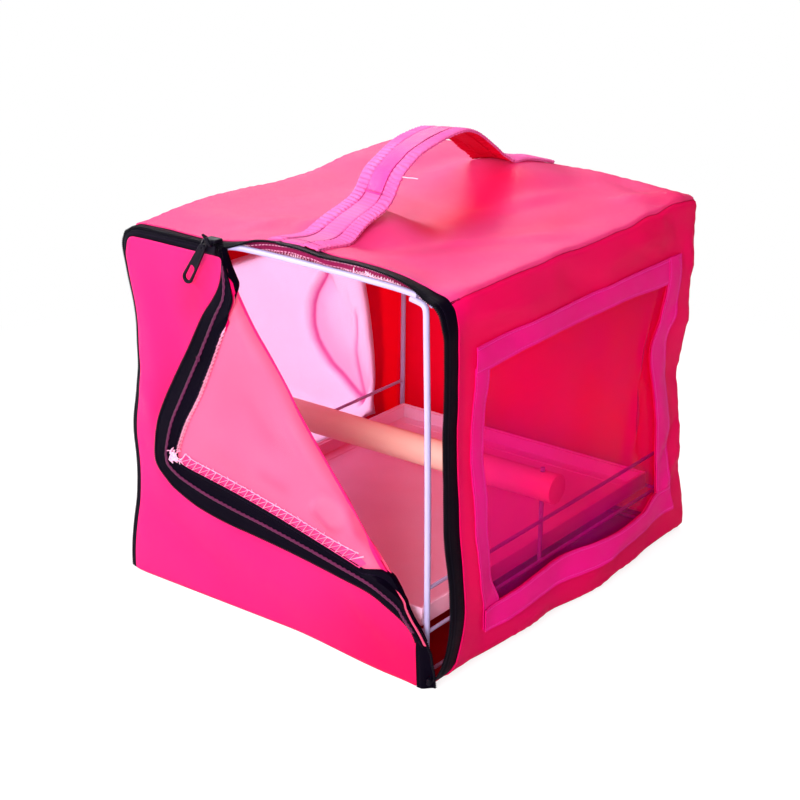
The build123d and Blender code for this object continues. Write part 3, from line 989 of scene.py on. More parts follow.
def lipHeight(line, y, z, behind):
    # a slack fold with a curved lip: steep before the lip and easing away behind it; it also gives weights
    # for painted shade along the lip and behind it
    best, sideOf, part = 1e3, 1, 0.0
    for n in range(len(line) - 1):
        a, b = Vector(line[n]), Vector(line[n + 1])
        along = b - a
        t = min(max((Vector((y, z)) - a).dot(along) / along.length_squared, 0), 1)
        away = Vector((y, z)) - (a + along * t)
        if away.length < best:
            best, part = away.length, (n + t) / (len(line) - 1)
            sideOf = 1 if along.x * away.y - along.y * away.x > 0 else -1
    fade = ease(part / 0.12) * ease((1 - part) / 0.08)
    rise = math.exp(-(best / (behind if sideOf > 0 else 2.6)) ** 2)
    edge = math.exp(-(best / (1.6 if sideOf < 0 else 1.1)) ** 2)
    return fade * rise, fade * edge, fade * bell(best, 26) if sideOf > 0 else 0.0


def makeMeshSheet():
    # slack mesh in the left window: it bellies in, with a curved fold
    margin = windowSheets["meshMargin"]
    ys = span(windowHole["front"] - margin, windowHole["rear"] + margin, 170)
    zs = span(windowHole["low"] - margin, windowHole["high"] + margin, 110)

    def at(z, y):
        inside = min((y - ys[0]) / 24, (ys[-1] - y) / 10, (z - zs[0]) / 14, (zs[-1] - z) / 18, 1)
        place = Vector((0, y, z))
        rise, edge, past = lipHeight(foldLine, y, z, 17.0)
        small, fine = lipHeight(lipLine, y, z, 7.0)[:2]
        belly = foldHeight(place, meshFolds)
        belly += 0.9 * noise.noise(place / 34) - 1.2 + 6.0 * rise + 2.4 * small
        lift = -windowSheets["depth"] - belly * ease(inside)
        # painted shade along the fold's lip, the small lip and behind the fold
        shade = min(0.95 * edge + 0.5 * fine + 0.24 * past, 1.0) + 1e-6
        return sleevePoint(0, -1, [0, y, z], lift, seam=False), (y, z, shade)

    rows, flat = sheetRows(zs, ys, at)
    piece = gridPiece("windowMesh", rows, flat, ["mesh"], (-1, 0, 0), thick=windowSheets["meshThick"])
    declare(piece, nodes=["left_window_mesh"], slot="white_mesh")


makeBindings("left", -1)
makeBindings("right", 1)
makeFilmSheet()
makeMeshSheet()
print("carrier: windows made")

# zip: the cover's half

zipHalf = {"front": -148.0, "rear": -130.5, "foot": 2.0, "tooth": (0.8, 2.0, 1.5), "pitch": 1.35,
    "core": 0.55, "openTilt": 0.17,
           "leftRear": -134.0, "hinge": -136.0, "turnFrom": -143.5, "turnOver": 4.5}


def ringStations(step):
    # round the opening from the left foot, over the roof, to the right foot
    sideLow, sideHigh = zipHalf["foot"], edgeHigh[2]
    roofHigh = edgeHigh[0]
    sideSteps, roofSteps = round((sideHigh - sideLow) / step), round(2 * roofHigh / step)
    stations = [(0, -1, z) for z in span(sideLow, sideHigh, sideSteps)]
    stations += [(2, 1, x) for x in span(-roofHigh, roofHigh, roofSteps)[1:]]
    stations += [(0, 1, z) for z in span(sideHigh, sideLow, sideSteps)[1:]]
    return stations


def ringFront(station):
    # at the right foot the cover's half runs forward to meet the door's
    axis, side, place = station
    if axis != 0 or side < 0:
        return zipHalf["front"]
    return zipHalf["front"] - between(place, [(0, 8.0), (5, 6.5), (9, 3.5), (14, 2), (24, 1), (50, 0)])


def ringPoint(station, y, lift):
    axis, side, place = station
    places = [place, y, 0.0] if axis == 2 else [0.0, y, place]
    return sleevePoint(axis, side, places, lift, seam=False, wander=False)


def openShare(station):
    # how far the cover's half stands up where the zip is open
    if station[0] != 2:
        return 0.0
    place = station[2]
    return ease((place + 46) / 30) * ease((118 - place) / 26)


def makeCoverTape():
    stations = ringStations(3.0)

    def at(n, k):
        station = stations[n]
        rear = zipHalf["rear"] if station[0] == 2 or station[1] > 0 else zipHalf["leftRear"]
        y = span(ringFront(station), rear, 12)[k]
        closeness = ease((zipHalf["turnFrom"] - y) / zipHalf["turnOver"])
        tilt = zipHalf["openTilt"] * max(zipHalf["hinge"] - y, 0.0) * openShare(station)
        if station[0] == 2 and station[2] < 0:
            closed = -2.4 * closeness ** 2 * (1 - openShare(station))
        else:
            closed = -0.7 * closeness ** 2
        point = ringPoint(station, y, -0.95 + 0.25 * closeness + tilt + closed)
        return point, (3.0 * n, y - zipHalf["front"], 0)

    rows, flat = sheetRows(range(len(stations)), range(13), at)
    piece = gridPiece("coverZipTape", rows, flat, ["zipTape"], up, thick=0.6)
    declare(piece, nodes=["cover_zip_tape"], slot="zip_tape")


def toothRow(name, line, normals, size=None, pitch=None, phase=0.0):
    # one rounded coil loop, copied along a line, with a cord through them
    size = size or zipHalf["tooth"]
    pitch = pitch or zipHalf["pitch"]
    tooth = addShape(bpy.ops.mesh.primitive_cube_add, size=1.0)
    tooth.scale = (size[0] * mm, size[1] * mm, size[2] * mm)
    settle(tooth)
    applyModifier(tooth, "BEVEL", width=0.28 * mm, segments=1)
    shapePoints = [v.co.copy() for v in tooth.data.vertices]
    shapeFaces = [tuple(p.vertices) for p in tooth.data.polygons]
    bpy.data.objects.remove(tooth)
    total = lineLength(line)
    count = int(total / pitch)
    even = evenLine(line, count)
    turned = evenLine(normals, count)
    points, faces = [], []
    for n in range(count):
        spot = even[n].lerp(even[n + 1], 0.5 + phase)
        along = (even[n + 1] - even[n]).normalized()
        out = turned[n].normalized()
        across = out.cross(along).normalized()
        out = along.cross(across)
        base = len(points)
        for p in shapePoints:
            points.append(spot * mm + along * p.x + across * p.y + out * p.z)
        faces += [tuple(base + v for v in face) for face in shapeFaces]
    # the cord
    ring = 6
    start = len(points)
    for n in range(count + 1):
        along = (even[min(n + 1, count)] - even[max(n - 1, 0)]).normalized()
        out = turned[n].normalized()
        across = out.cross(along).normalized()
        out = along.cross(across)
        for k in range(ring):
            angle = 2 * math.pi * k / ring
            points.append((even[n] + (across * math.cos(angle) + out * math.sin(angle)) * zipHalf["core"])
                * mm)
    for n in range(count):
        for k in range(ring):
            a, b = start + n * ring + k, start + n * ring + (k + 1) % ring
            faces.append((a, b, b + ring, a + ring))
    faces.append(tuple(start + k for k in reversed(range(ring))))
    faces.append(tuple(start + count * ring + k for k in range(ring)))
    mesh = bpy.data.meshes.new(name)
    mesh.from_pydata(points, [], faces)
    shape = bmesh.new()
    shape.from_mesh(mesh)
    bmesh.ops.recalc_face_normals(shape, faces=shape.faces)
    shape.to_mesh(mesh)
    shape.free()
    mesh.materials.append(finish["zipCoil"])
    piece = addPiece(name, mesh)
    smooth(piece, 40)
    return piece


def stationNormal(station):
    axis, side, place = station
    places = [place, zipHalf["front"], 0.0] if axis == 2 else [0.0, zipHalf["front"], place]
    return boxPoint(axis, side, places)[1]


def makeCoverCoil():
    stations = ringStations(3.0)
    line, normals = [], []
    for station in stations:
        tilt = zipHalf["openTilt"] * 12 * openShare(station)
        closed = -2.6 * (1 - openShare(station)) if station[0] == 2 and station[2] < 0 else -0.8
        line.append(ringPoint(station, ringFront(station) + 0.1, -1.1 + tilt + closed))
        normals.append(stationNormal(station))
    piece = toothRow("coverZipCoil", line, normals)
    mount(piece, "carrier", "zip_coil", "cover_zip_coil")
    stops = []
    for end in (0, -1):
        spot = line[end] * mm
        stop = addShape(bpy.ops.mesh.primitive_cube_add, size=1.0, location=spot + Vector((0, 0, 1.2 * mm)))
        stop.scale = (2.4 * mm, 3.4 * mm, 4.2 * mm)
        settle(stop)
        applyModifier(stop, "BEVEL", width=0.6 * mm, segments=3)
        stop.data.materials.append(finish["zipMetal"])
        stops.append(stop)
    joined = joinPieces("zipFootStops", stops)
    smooth(joined)
    mount(joined, "carrier", "zip_metal", "zip_end_stops")


makeCoverTape()
makeCoverCoil()
print("carrier: cover zip made")

# the door

door = {"corner": 16.0}
doorPulls = frontEdgePulls + [((112, -150, 0), (0, -8.5, 0), 108)]
doorFolds = [
    ((-118, 0, 215), (-100, 0, 60), 13, 1.5),
    ((-96, 0, 225), (-66, 0, 90), 15, -1.4),
    ((-60, 0, 225), (-52, 0, 150), 10, 1.2),
    ((-120, 0, 60), (-40, 0, 14), 13, -1.2),
    ((-70, 0, 60), (40, 0, 20), 16, 1.6),
    ((20, 0, 50), (100, 0, 12), 12, -1.3),
    ((60, 0, 45), (116, 0, 20), 9, 1.2),
    ((-126, 0, 150), (-108, 0, 120), 8, 1.0),
]

# the crease and the folded corner's edges, from the slider down to the lower right corner
creaseLine = [(-42.5, -151.4, 249.0), (-40.0, -152, 244.5), (-37.2, -152.0, 238.0), (-31.6, -152.2, 228.4),
    (-27.0, -152.4, 219.5), (-16.0, -152.6, 203.0),
              (-2.2, -152.8, 186.4), (10.8, -153.0, 169.8), (21.8, -153.0, 153.6), (40.2, -153.0, 130.5),
              (58.5, -153.0, 108.5),
              (74.6, -153.3, 87.6), (88.0, -154.2, 73.2), (100.9, -156.6, 60.9), (104.2, -157.2, 56.6),
              (107.0, -157.4, 53.0), (108.4, -157.6, 49.6),
              (112.6, -157.8, 43.4), (117.6, -157.8, 37.4), (122.6, -157.8, 30.0)]
edgeUpper = [(-42.4, -151.6, 249.6), (-39.3, -153.0, 242.4), (-39.4, -155.0, 229.0), (-44.3, -156.5, 217.3),
    (-53.0, -158.0, 203.9),
             (-64.2, -160.0, 180.5), (-74.0, -161.0, 162.3), (-83.6, -162.5, 142.9), (-90.3, -163.5, 125.8),
             (-92.5, -164.5, 109.9),
             (-92.2, -165.0, 98.8), (-88.6, -165.0, 92.7)]
edgeLower = [(-88.6, -165.0, 92.7), (-83.0, -165.0, 88.0), (-75.5, -164.5, 82.3), (-57.0, -163.5, 74.4),
    (-32.8, -162.0, 69.0), (-8.3, -160.5, 66.0),
             (25.8, -159.4, 61.8), (58.5, -159.0, 57.1), (82.4, -159.4, 53.9), (96.9, -160.0, 49.0),
             (110.6, -160.4, 42.8),
             (117.0, -160.2, 37.4), (119.8, -159.6, 31.0)]
bandUpper = [(-41.4, -152.0, 246.8), (-38.4, -152.8, 242.3), (-32.9, -153.4, 231.8), (-29.8, -154.2, 226.0),
    (-27.6, -155.0, 219.6), (-30.2, -156.0, 211.0), (-34.6, -157.0, 198.7),
             (-39.4, -157.8, 187.0), (-44.5, -159.0, 173.5), (-55.2, -160.5, 149.2), (-64.4, -162.0, 131.9),
             (-71.3, -163.0, 114.8), (-73.5, -163.5, 105.3)]
bandLower = [(-73.5, -163.5, 105.3), (-66.3, -163.5, 101.3), (-43.7, -162.5, 97.0), (-20.0, -161.0, 92.1),
    (3.6, -160.0, 86.8), (25.6, -159.0, 81.2),
             (58.1, -158.4, 73.1), (81.5, -158.2, 67.0), (100.5, -158.6, 60.5), (106.4, -158.8, 57.7),
             (109.7, -159.0, 54.9), (111.0, -159.0, 50.3),
             (115.2, -159.0, 44.0), (120.3, -158.9, 38.0), (125.8, -158.6, 29.8)]
flapSteps = (70, 100, 24)
meeting = {"inner": (100.7, -157.6, 60.7), "outer": (99.0, -160.0, 48.2)}


def partAt(line, place):
    nearest = min(range(len(line)), key=lambda k: (line[k] - Vector(place)).length)
    return line[: nearest + 1], line[nearest:]


def flapCurves():
    # past the meeting point only the zip's tape is left of the folded corner
    upper, lower, tail = flapSteps
    crease = evenLine(softLine(creaseLine), 600)
    first = crease[:205]
    second, last = partAt(crease[204:], meeting["inner"])
    fold = evenLine(first, upper) + evenLine(second, lower)[1:] + evenLine(last, tail)[1:]
    curves = []
    for up, down, place in ((edgeUpper, edgeLower, meeting["outer"]),
        (bandUpper, bandLower, meeting["inner"])):
        near, far = partAt(evenLine(softLine(down), 600), place)
        curves.append(evenLine(softLine(up), upper) + evenLine(near, lower)[1:] + evenLine(far, tail)[1:])
    return curves[0], curves[1], fold


edgeCurve, bandCurve, foldCurve = flapCurves()


def creaseAt(z):
    # where the crease is at this height
    if z >= foldCurve[0].z:
        return foldCurve[0].x
    for a, b in zip(foldCurve, foldCurve[1:]):
        if b.z <= z <= a.z:
            return b.x + (a.x - b.x) * (z - b.z) / max(a.z - b.z, 1e-6)
    return foldCurve[-1].x - 8 * ease((foldCurve[-1].z - z) / 12)


def doorPoint(x, z, lift=0.0):
    base = Vector((x, -150, z))
    rise = lift + 0.55 * noise.noise(base / 52 + Vector((5, 2, 9))) + foldHeight(Vector((x, 0, z)), doorFolds)
    point = pulled(base, doorPulls)
    point.y = point.y - 0.3 - rise
    return point


doorShow = {"left": [(0, 4.6), (140, 4.8), (165, 3.2), (228, 3.2), (240, 6)], "top": 6.6, "round": 6.0}


def makeFrontCloth():
    top = cover["height"] - doorShow["top"]
    heights = [0.35, 0.9, 1.8, 3.0] + span(5, top - 8, 62) + [top - 5, top - 3, top - 1.5, top - 0.5, top]
    rows, flat = [], []
    for z in heights:
        left = -cover["halfWidth"] + between(z, doorShow["left"])
        drop = top - z
        if drop < doorShow["round"]:
            left += doorShow["round"] - math.sqrt(max(doorShow["round"] ** 2
                - (doorShow["round"] - drop) ** 2, 0))
        right = creaseAt(z) - 0.6 - 2.2 * ease((64 - z) / 6)
        if z < 46:
            corner = 120.6 + 2.0 * (1 - min(z, 32) / 32)
            right = corner + (right - corner) * ease((z - 34) / 10)
        row, flatRow = [], []
        for k in range(64):
            part = k / 63
            x = left + (right - left) * part
            tuck = 2.2 * (1 - min(z, 3.0) / 3.0) ** 2
            edge = min(part * (right - left), 1.2, drop + 0.4) / 1.2
            point = doorPoint(x, max(z, 0.2), 0.5 * ease(edge))
            point.y += tuck
            # near the crease the cloth comes forward into the roll
            lean = ease(1 - (right - x) / 9) if z > 28 else 0.0
            point.y -= 0.6 * lean
            row.append(point)
            # painted shade: deeper towards the lower right, beside the slider and in a patch on the left
            paintedShade = 0.9 * ease((x + 30) / 130) * ease((95 - z) / 85) + 0.6 * math.exp(
                -((x + 64 + 0.25 * (222 - z)) / 17) ** 2 - ((z - 214) / 24) ** 2)
            paintedShade += 0.35 * math.exp(-((x + 96) / 12) ** 2 - ((z - 120) / 40) ** 2)
            flatRow.append((x, z, min(paintedShade, 1.0) + 1e-6))
        rows.append(row)
        flat.append(flatRow)
    piece = gridPiece("frontCloth", rows, flat, ["front", "inner"], (0, -1, 0))
    declare(piece, body="door", nodes=["front_panel"])


def doorRing(length, inset):
    # round the door's edge from the left foot, up and along the top
    radius = door["corner"]
    straight = cover["height"] - radius - zipHalf["foot"]
    arc = radius * math.pi / 2
    if length <= straight:
        return Vector((-cover["halfWidth"] + inset, 0, zipHalf["foot"] + length))
    centre = Vector((-cover["halfWidth"] + radius, 0, cover["height"] - radius))
    if length <= straight + arc:
        angle = math.pi - (length - straight) / radius
        return centre + Vector((math.cos(angle), 0, math.sin(angle))) * (radius - inset)
    return Vector((centre.x + length - straight - arc, 0, cover["height"] - inset))


# the flat piece at the foot: its outer edge and how far that edge turns back, by height
footZip = {
    "outer": [(0, 130), (7, 129.4), (22, 127.8), (29, 125.2), (35, 121.6), (42, 114)],
    "back": [(0, 5), (7, 5), (22, 3.4), (30, 2.2), (42, 0.6)],
}


def makeDoorTape():
    upright = cover["height"] - door["corner"] - zipHalf["foot"]
    level = foldCurve[0].x + cover["halfWidth"] - door["corner"]
    total = upright + door["corner"] * math.pi / 2 + level
    count = round(total / 3)
    rows, flat, coil, normals = [], [], [], []
    for n in range(count + 1):
        length = total * n / count
        row, flatRow = [], []
        for inset in (0.0, 0.6, 1.3, 2.2, 3.2, 4.4, 6.0, 8.0, 10.0, 12.0, 14.0):
            spot = doorRing(length, inset)
            point = doorPoint(spot.x, spot.z, -0.25)
            point.y += 1.9 * bell(inset + 0.1, 1.7)
            row.append(point)
            flatRow.append((length, inset, 0))
        rows.append(row)
        flat.append(flatRow)
        spot = doorRing(length, 0.5)
        point = doorPoint(spot.x, spot.z)
        point.y += 1.6
        coil.append(point)
        normals.append(Vector((0, -1, 0)))
    tape = gridPiece("doorZipTape.left", rows, flat, ["zipTape"], (0, -1, 0), thick=0.6)
    # the short piece that stays flat below the crease

    def at(n, k):
        z, part = 0.4 + 41.0 * n / 15, k / 8
        outer = between(z, footZip["outer"])
        inner = 118.6 + 2.0 * (1 - min(z, 30) / 30) - 8.0 * ease((z - 31) / 11)
        point = doorPoint(inner + (outer - inner) * part, z, 1.0)
        point.y += between(z, footZip["back"]) * ease((part - 0.35) / 0.65)
        return point, (z, part * 13, 0)

    rows, flat = sheetRows(range(16), range(9), at)
    footCoil = [row[-1] + Vector((0.3, 0.4, 0)) for row in rows]
    foot = gridPiece("doorZipTape.foot", rows, flat, ["zipTape"], (0, -1, 0), thick=0.6)
    joined = joinPieces("doorZipTape", [tape, foot])
    declare(joined, body="door", nodes=["door_zip_tape"], slot="zip_tape")
    rowLeft = toothRow("doorCoil.left", coil, normals, phase=0.25)
    rowFoot = toothRow("doorCoil.foot", footCoil, [Vector((0.3, -1, 0))] * len(footCoil))
    joined = joinPieces("doorZipCoil", [rowLeft, rowFoot])
    mount(joined, "door", "zip_coil", "door_zip_coil")


flap = {
    "bulge": 2.2, "tapeLift": 0.9, "coverLift": 1.3,
    "wrap": [(0.9, 2.6, 0.5), (1.4, 0.4, 0.8), (1.0, -2.0, 0.6)],
}
# painted shade in the flap's dimples, as (start, end, width, height)
flapShades = [
    ((38, 0, 99), (55, 0, 86), 3.0, 0.3),
    ((62, 0, 101), (72, 0, 84), 3.2, 0.22),
    ((-22, 0, 158), (6, 0, 126), 6.0, 0.14),
    ((-6, 0, 112), (20, 0, 104), 4.0, 0.2),
]
flapFolds = [
    ((36, 0, 100), (56, 0, 86), 5.5, 2.6),
    ((42, 0, 110), (68, 0, 94), 5.5, -2.2),
    ((60, 0, 104), (74, 0, 82), 6.0, 1.8),
    ((-10, 0, 190), (30, 0, 120), 14, 1.8),
    ((-32, 0, 166), (12, 0, 118), 15, -2.2),
    ((-52, 0, 128), (20, 0, 102), 11, 1.8),
    ((60, 0, 88), (104, 0, 58), 8, -1.6),
    ((10, 0, 150), (44, 0, 118), 9, 1.6),
    ((-26, 0, 205), (-10, 0, 176), 8, 1.4),
]


def flapPoint(n, part, lift=0.0):
    # part 0 is the crease, 1 the band's inner edge and 2 the outer edge
    if part <= 1:
        spot = foldCurve[n].lerp(bandCurve[n], part)
        width = (bandCurve[n] - foldCurve[n]).length
        spot.y -= flap["bulge"] * math.sin(math.pi * part) * min(width / 60, 1.0)
        spot.y -= 0.9 * foldHeight(Vector((spot.x, 0, spot.z)),
            flapFolds) * math.sin(math.pi * min(part, 1)) ** 0.5
        # it turns round the crease
        turn = max(0.0, 1 - part * width / 15.0)
        spot.y += 2.4 * turn ** 3
    else:
        spot = bandCurve[n].lerp(edgeCurve[n], part - 1)
    spot.y -= lift
    return spot


def flapShade(p, part, width):
    # painted shade: deeper along the crease, in the dimples and towards the foot
    if part > 1:
        return 0.0
    paintedShade = 0.9 * ease(1 - part * width / 8.5) + max(foldHeight(Vector((p.x, 0, p.z)), flapShades), 0)
    return min(paintedShade + 0.34 * ease((p.x + 10) / 110) * ease((130 - p.z) / 90), 1.0) + 1e-6


def makeFlap():
    count = sum(flapSteps) + 1
    shares = [0.0, 0.015, 0.035, 0.06, 0.09, 0.12, 0.15] + span(0.18, 1.0, 30) + [1.25, 1.5, 1.7, 1.82]
    rows = [[flapPoint(n, part) for part in shares] for n in range(count)]
    flat = []
    for n, row in enumerate(rows):
        width = (bandCurve[n] - foldCurve[n]).length
        flat.append([(p.x, p.z, flapShade(p, part, width)) for part, p in zip(shares, row)])
    piece = gridPiece("flapCloth", rows, flat, ["inner", "outer"], (0, -1, 0))
    declare(piece, body="door_corner", nodes=["door_flap"])
    # tape on the inner face, with a low ridge where it is sewn
    rows, flat = [], []
    length = 0.0
    for n in range(count):
        if n:
            length += (edgeCurve[n] - edgeCurve[n - 1]).length
        row, flatRow = [], []
        width = (edgeCurve[n] - bandCurve[n]).length
        # in the tail the tape covers the cloth right up to the crease
        covering = max(ease((n - 156) / 10), ease((25 - n) / 8))
        start = 1 - 0.98 * covering
        for k in range(13):
            part = k / 12
            ridge = 0.45 * bell(part - 0.5, 0.09) - 0.25 * bell(part - 0.32, 0.08)
            lift = flap["tapeLift"] + ridge * min(width / 12, 1) - 0.5 * ease((part - 0.85) / 0.15)
            lift += flap["coverLift"] * covering * (1 - 0.6 * part)
            point = flapPoint(n, start + part * (2 - start), lift)
            if k < len(flap["wrap"]):
                # and turns round its edge
                point = point.lerp(flapPoint(n, 0) + Vector(flap["wrap"][k]), covering)
            row.append(point)
            flatRow.append((length, part * max(width, 1), 0))
        rows.append(row)
        flat.append(flatRow)
    tape = gridPiece("flapZipTape", rows, flat, ["zipTape"], (0, -1, 0), thick=0.6)
    declare(tape, body="door_corner", nodes=["flap_zip_tape"], slot="zip_tape")
    line = [flapPoint(n, 2.0, 0.2) for n in range(count)]
    coil = toothRow("flapZipCoil", line, [Vector((0, -1, 0))] * count)
    mount(coil, "door_corner", "zip_coil", "flap_zip_coil")


def makeCreaseRoll():
    # the soft turn between the door and its folded corner, in short lengths
    count, lengths = len(foldCurve), 9
    first, last = 24, flapSteps[0] + flapSteps[1] - 14
    cuts = [first + round((last - first) * k / lengths) for k in range(lengths + 1)]
    for piece, (low, high) in enumerate(zip(cuts, cuts[1:])):
        rows, flat = [], []
        for n in range(low, high + 1):
            before, after = foldCurve[max(n - 1, 0)], foldCurve[min(n + 1, count - 1)]
            along = (after - before).normalized()
            out = Vector((-along.z, 0, along.x)).normalized()  # away from the cloth, in the door's plane
            spot = foldCurve[n]
            back = doorPoint(spot.x, spot.z, 0.5).y - 0.4
            face = flapPoint(n, 0.0).y
            middle, radius = (back + face) / 2, max(abs(back - face) / 2, 0.2)
            row = [Vector((spot.x, middle - radius * math.sin(-math.pi / 2), spot.z)) - out * 1.3]
            for k in range(7):
                angle = -math.pi / 2 + math.pi * k / 6
                row.append(Vector((spot.x, middle - radius * math.sin(angle), spot.z)) + out
                    * (0.9 * radius * math.cos(angle)))
            # one edge is tucked behind the door's edge, the other runs on under the corner
            width = max((bandCurve[n] - spot).length, 1.0)
            row += [flapPoint(n, min(away / width, 0.7), -0.45) for away in (0.8, 1.7, 2.6, 3.5, 4.4, 5.2)]
            rows.append(row)
            run = [0.0]
            for before, after in zip(row, row[1:]):
                run.append(run[-1] + (after - before).length)
            flat.append([(n * 1.5, r, 0) for r in run])
        name = f"creaseRoll.{piece + 1}"
        roll = gridPiece(name, rows, flat, ["front"], (1, -0.2, 1), thick=0.7)
        length = lineLength([row[4] for row in rows])
        wide = sum(lineLength(row) for row in rows) / len(rows)
        if piece == 0:
            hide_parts("crease_roll")
        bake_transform(roll)


makeFrontCloth()
makeDoorTape()
makeFlap()
makeCreaseRoll()
print("carrier: door and folded corner made")

# threads

def tubePiece(name, paths, radius, label, sides=6):
    # round cord along each path of points in millimetres
    curve = bpy.data.curves.new(name, "CURVE")
    curve.dimensions = "3D"
    curve.bevel_depth = radius * mm
    curve.bevel_resolution = max(0, sides // 4)
    curve.use_fill_caps = True
    for path in paths:
        spline = curve.splines.new("POLY")
        spline.points.add(len(path) - 1)
        for n, point in enumerate(path):
            spline.points[n].co = (*(Vector(point) * mm), 1)
    focusOn(addPiece(name, curve))
    bpy.ops.object.convert(target="MESH")
    piece = bpy.context.object
    piece.data.materials.clear()
    piece.data.materials.append(finish[label])
    smooth(piece, 60)
    return piece


stitches = {"ladder": 5.4, "ladderWide": 7.4, "fringe": 3.0, "fringeWide": 2.8, "thread": 0.5}


def insideBand(n, distance, lift):
    # a point on the flap's cloth, this far inside the band's inner edge
    n = min(max(n, 0), len(bandCurve) - 1)
    width = (bandCurve[n] - foldCurve[n]).length
    part = 1 - min(distance / max(width, 1e-3),
        0.9) if distance >= 0 else 1 - distance / max((edgeCurve[n] - bandCurve[n]).length, 3)
    return flapPoint(n, part, lift + (1.0 if distance < 0 else 0.0))


def alongBand(first, last, pitch):
    # places along the band's inner edge, a pitch apart, as whole and part steps
    places, left = [], 0.0
    for n in range(first, last):
        length = (bandCurve[n + 1] - bandCurve[n]).length
        while left <= length:
            places.append(n + left / max(length, 1e-6))
            left += pitch
        left -= length
    return places


def bandSpot(place, distance, lift):
    low = int(place)
    return insideBand(low, distance, lift).lerp(insideBand(low + 1, distance, lift), place - low)


def zigzag(places, near, far, lift, drift):
    path = []
    for n, place in enumerate(places):
        wander = 0.5 * noise.noise(Vector((place * 0.9, drift, 3)))
        distance = (near if n % 2 else far) + wander
        path.append(bandSpot(place, distance, lift + 0.25 * noise.noise(Vector((drift, place, 1)))))
    return path


def makeFlapThreads():
    upper, count = flapSteps[0], len(bandCurve) - 1
    lower = alongBand(upper + 1, count - flapSteps[2] - 18, stitches["ladder"] / 2)
    wide = stitches["ladderWide"]
    ladder = [zigzag(lower, -0.2, wide, 0.45, 1.0)]
    fine = alongBand(upper + 1, count - flapSteps[2] - 20, 1.3)
    loose = [[bandSpot(p, wide + 0.2 + 0.9 * noise.noise(Vector((p * 1.3, k, 2))), 0.4 + 0.2 * k)
        for p in fine] for k in range(2)]
    for k in range(4, len(fine) - 6, 5):
        start = bandSpot(fine[k], wide + 0.2, 0.5)
        loose.append([start
            + Vector((0.5 * t * math.sin(k), -0.25 * t, 0.55 * t + 0.2 * t * math.cos(k * 1.7)))
            for t in range(4)])
    rise = alongBand(24, upper - 1, stitches["fringe"] / 2)
    fringe = [zigzag(rise, -1.0, stitches["fringeWide"], 0.35, 2.0), zigzag(rise[1:], -1.2, 1.6, 0.6, 7.0)]
    centre = bandCurve[upper] + Vector((-2.0, -1.9, -0.4))
    tip = []
    for k in range(26):
        angle = 2.4 * k
        reachOf = 3.4 + 3.8 * abs(noise.noise(Vector((k * 0.7, 1, 2)))) * 2
        side = Vector((math.cos(angle), 0, math.sin(angle)))
        across = Vector((-side.z, 0, side.x))
        tip.append([centre + side * (reachOf * t) + across * (2.2 * math.sin(3.6 * t + k))
            + Vector((0, -0.5 * math.sin(3.1 * t), 0)) for t in span(-0.35, 1.0, 9)])
    pieces = [tubePiece("ladder", ladder, stitches["thread"] * 1.25, "paleThread"),
              tubePiece("looseThread", loose, 0.24, "paleThread"),
              tubePiece("fringe", fringe, stitches["thread"] * 0.9, "paleThread"),
              tubePiece("tipThread", tip[::2], 0.26, "whiteThread"),
              tubePiece("tipCurl", tip[1::2], 0.3, "paleThread")]
    middle, side = [], []
    for n in range(4, len(edgeCurve) - 6):
        width = (edgeCurve[n] - bandCurve[n]).length
        middle.append(flapPoint(n, 1.5 + 0.35 / max(width, 2) * (1 if n % 2 else -1),
            flap["tapeLift"] + 0.42))
        side.append(flapPoint(n, 1.5 + (0.9 + 0.3 * (n % 2)) / max(width, 2), flap["tapeLift"] + 0.3))
    knot = flapPoint(34, 1.5, flap["tapeLift"] + 0.9)
    curl = [knot + Vector((1.3 * math.cos(a), -0.4 * math.sin(a * 2), 1.3 * math.sin(a * 1.5)))
        for a in span(0, 12, 40)]
    pieces.append(tubePiece("middleSeam", [middle, side], 0.6, "magentaThread"))
    pieces.append(tubePiece("middleKnot", [curl], 0.35, "magentaThread"))
    joined = joinPieces("flapThreads", pieces)
    mount(joined, "door_corner", "cover_fabric")


def makeFlapHem():
    # a deeper pink strip under the overlock ladder
    upper, count = flapSteps[0], len(bandCurve) - 1
    rows, flat = [], []
    places = alongBand(upper + 1, count - flapSteps[2] - 14, 2.0)
    for n, place in enumerate(places):
        wide = stitches["ladderWide"] + 0.5 + 0.4 * noise.noise(Vector((place * 0.8, 9, 9)))
        wide *= min(1.0, 0.35 + (len(places) - n) / 12)
        rows.append([bandSpot(place, d, 0.28) for d in span(-0.8, wide, 6)])
        flat.append([(n * 2.0, d, 0) for d in span(-0.8, wide, 6)])
    piece = gridPiece("flapHem", rows, flat, ["roof"], (0, -1, 0), thick=0.4)
    declare(piece, body="door_corner")


def makeSeamShadowLines():
    # painted shadow of each sewn edge's valley, as a fine dark cord
    low, high = edgeLow[2], edgeHigh[2]
    wide, deep = edgeHigh[0], edgeHigh[1]
    paths = []
    for side in (-1, 1):
        paths.append([sleevePoint(2, 1, [side * wide, y, 0], 0.25) for y in span(-137, deep, 110)])
        paths.append([sleevePoint(2, -1, [side * wide, y, 0], 0.1) for y in span(-134, deep, 60)])
        paths.append([sleevePoint(0, side, [0, deep, z], 0.25) for z in span(low, high, 90)])
    for z, face in ((high, 1), (low, -1)):
        paths.append([sleevePoint(2, face, [x, deep, 0], 0.25) for x in span(-wide, wide, 90)])
    paths = [[Vector((p.x, p.y, max(p.z, 0.4))) for p in path] for path in paths]
    piece = tubePiece("seamShadowLines", paths, 0.25, "seamShadowLine")
    mount(piece, "carrier", "cover_fabric")


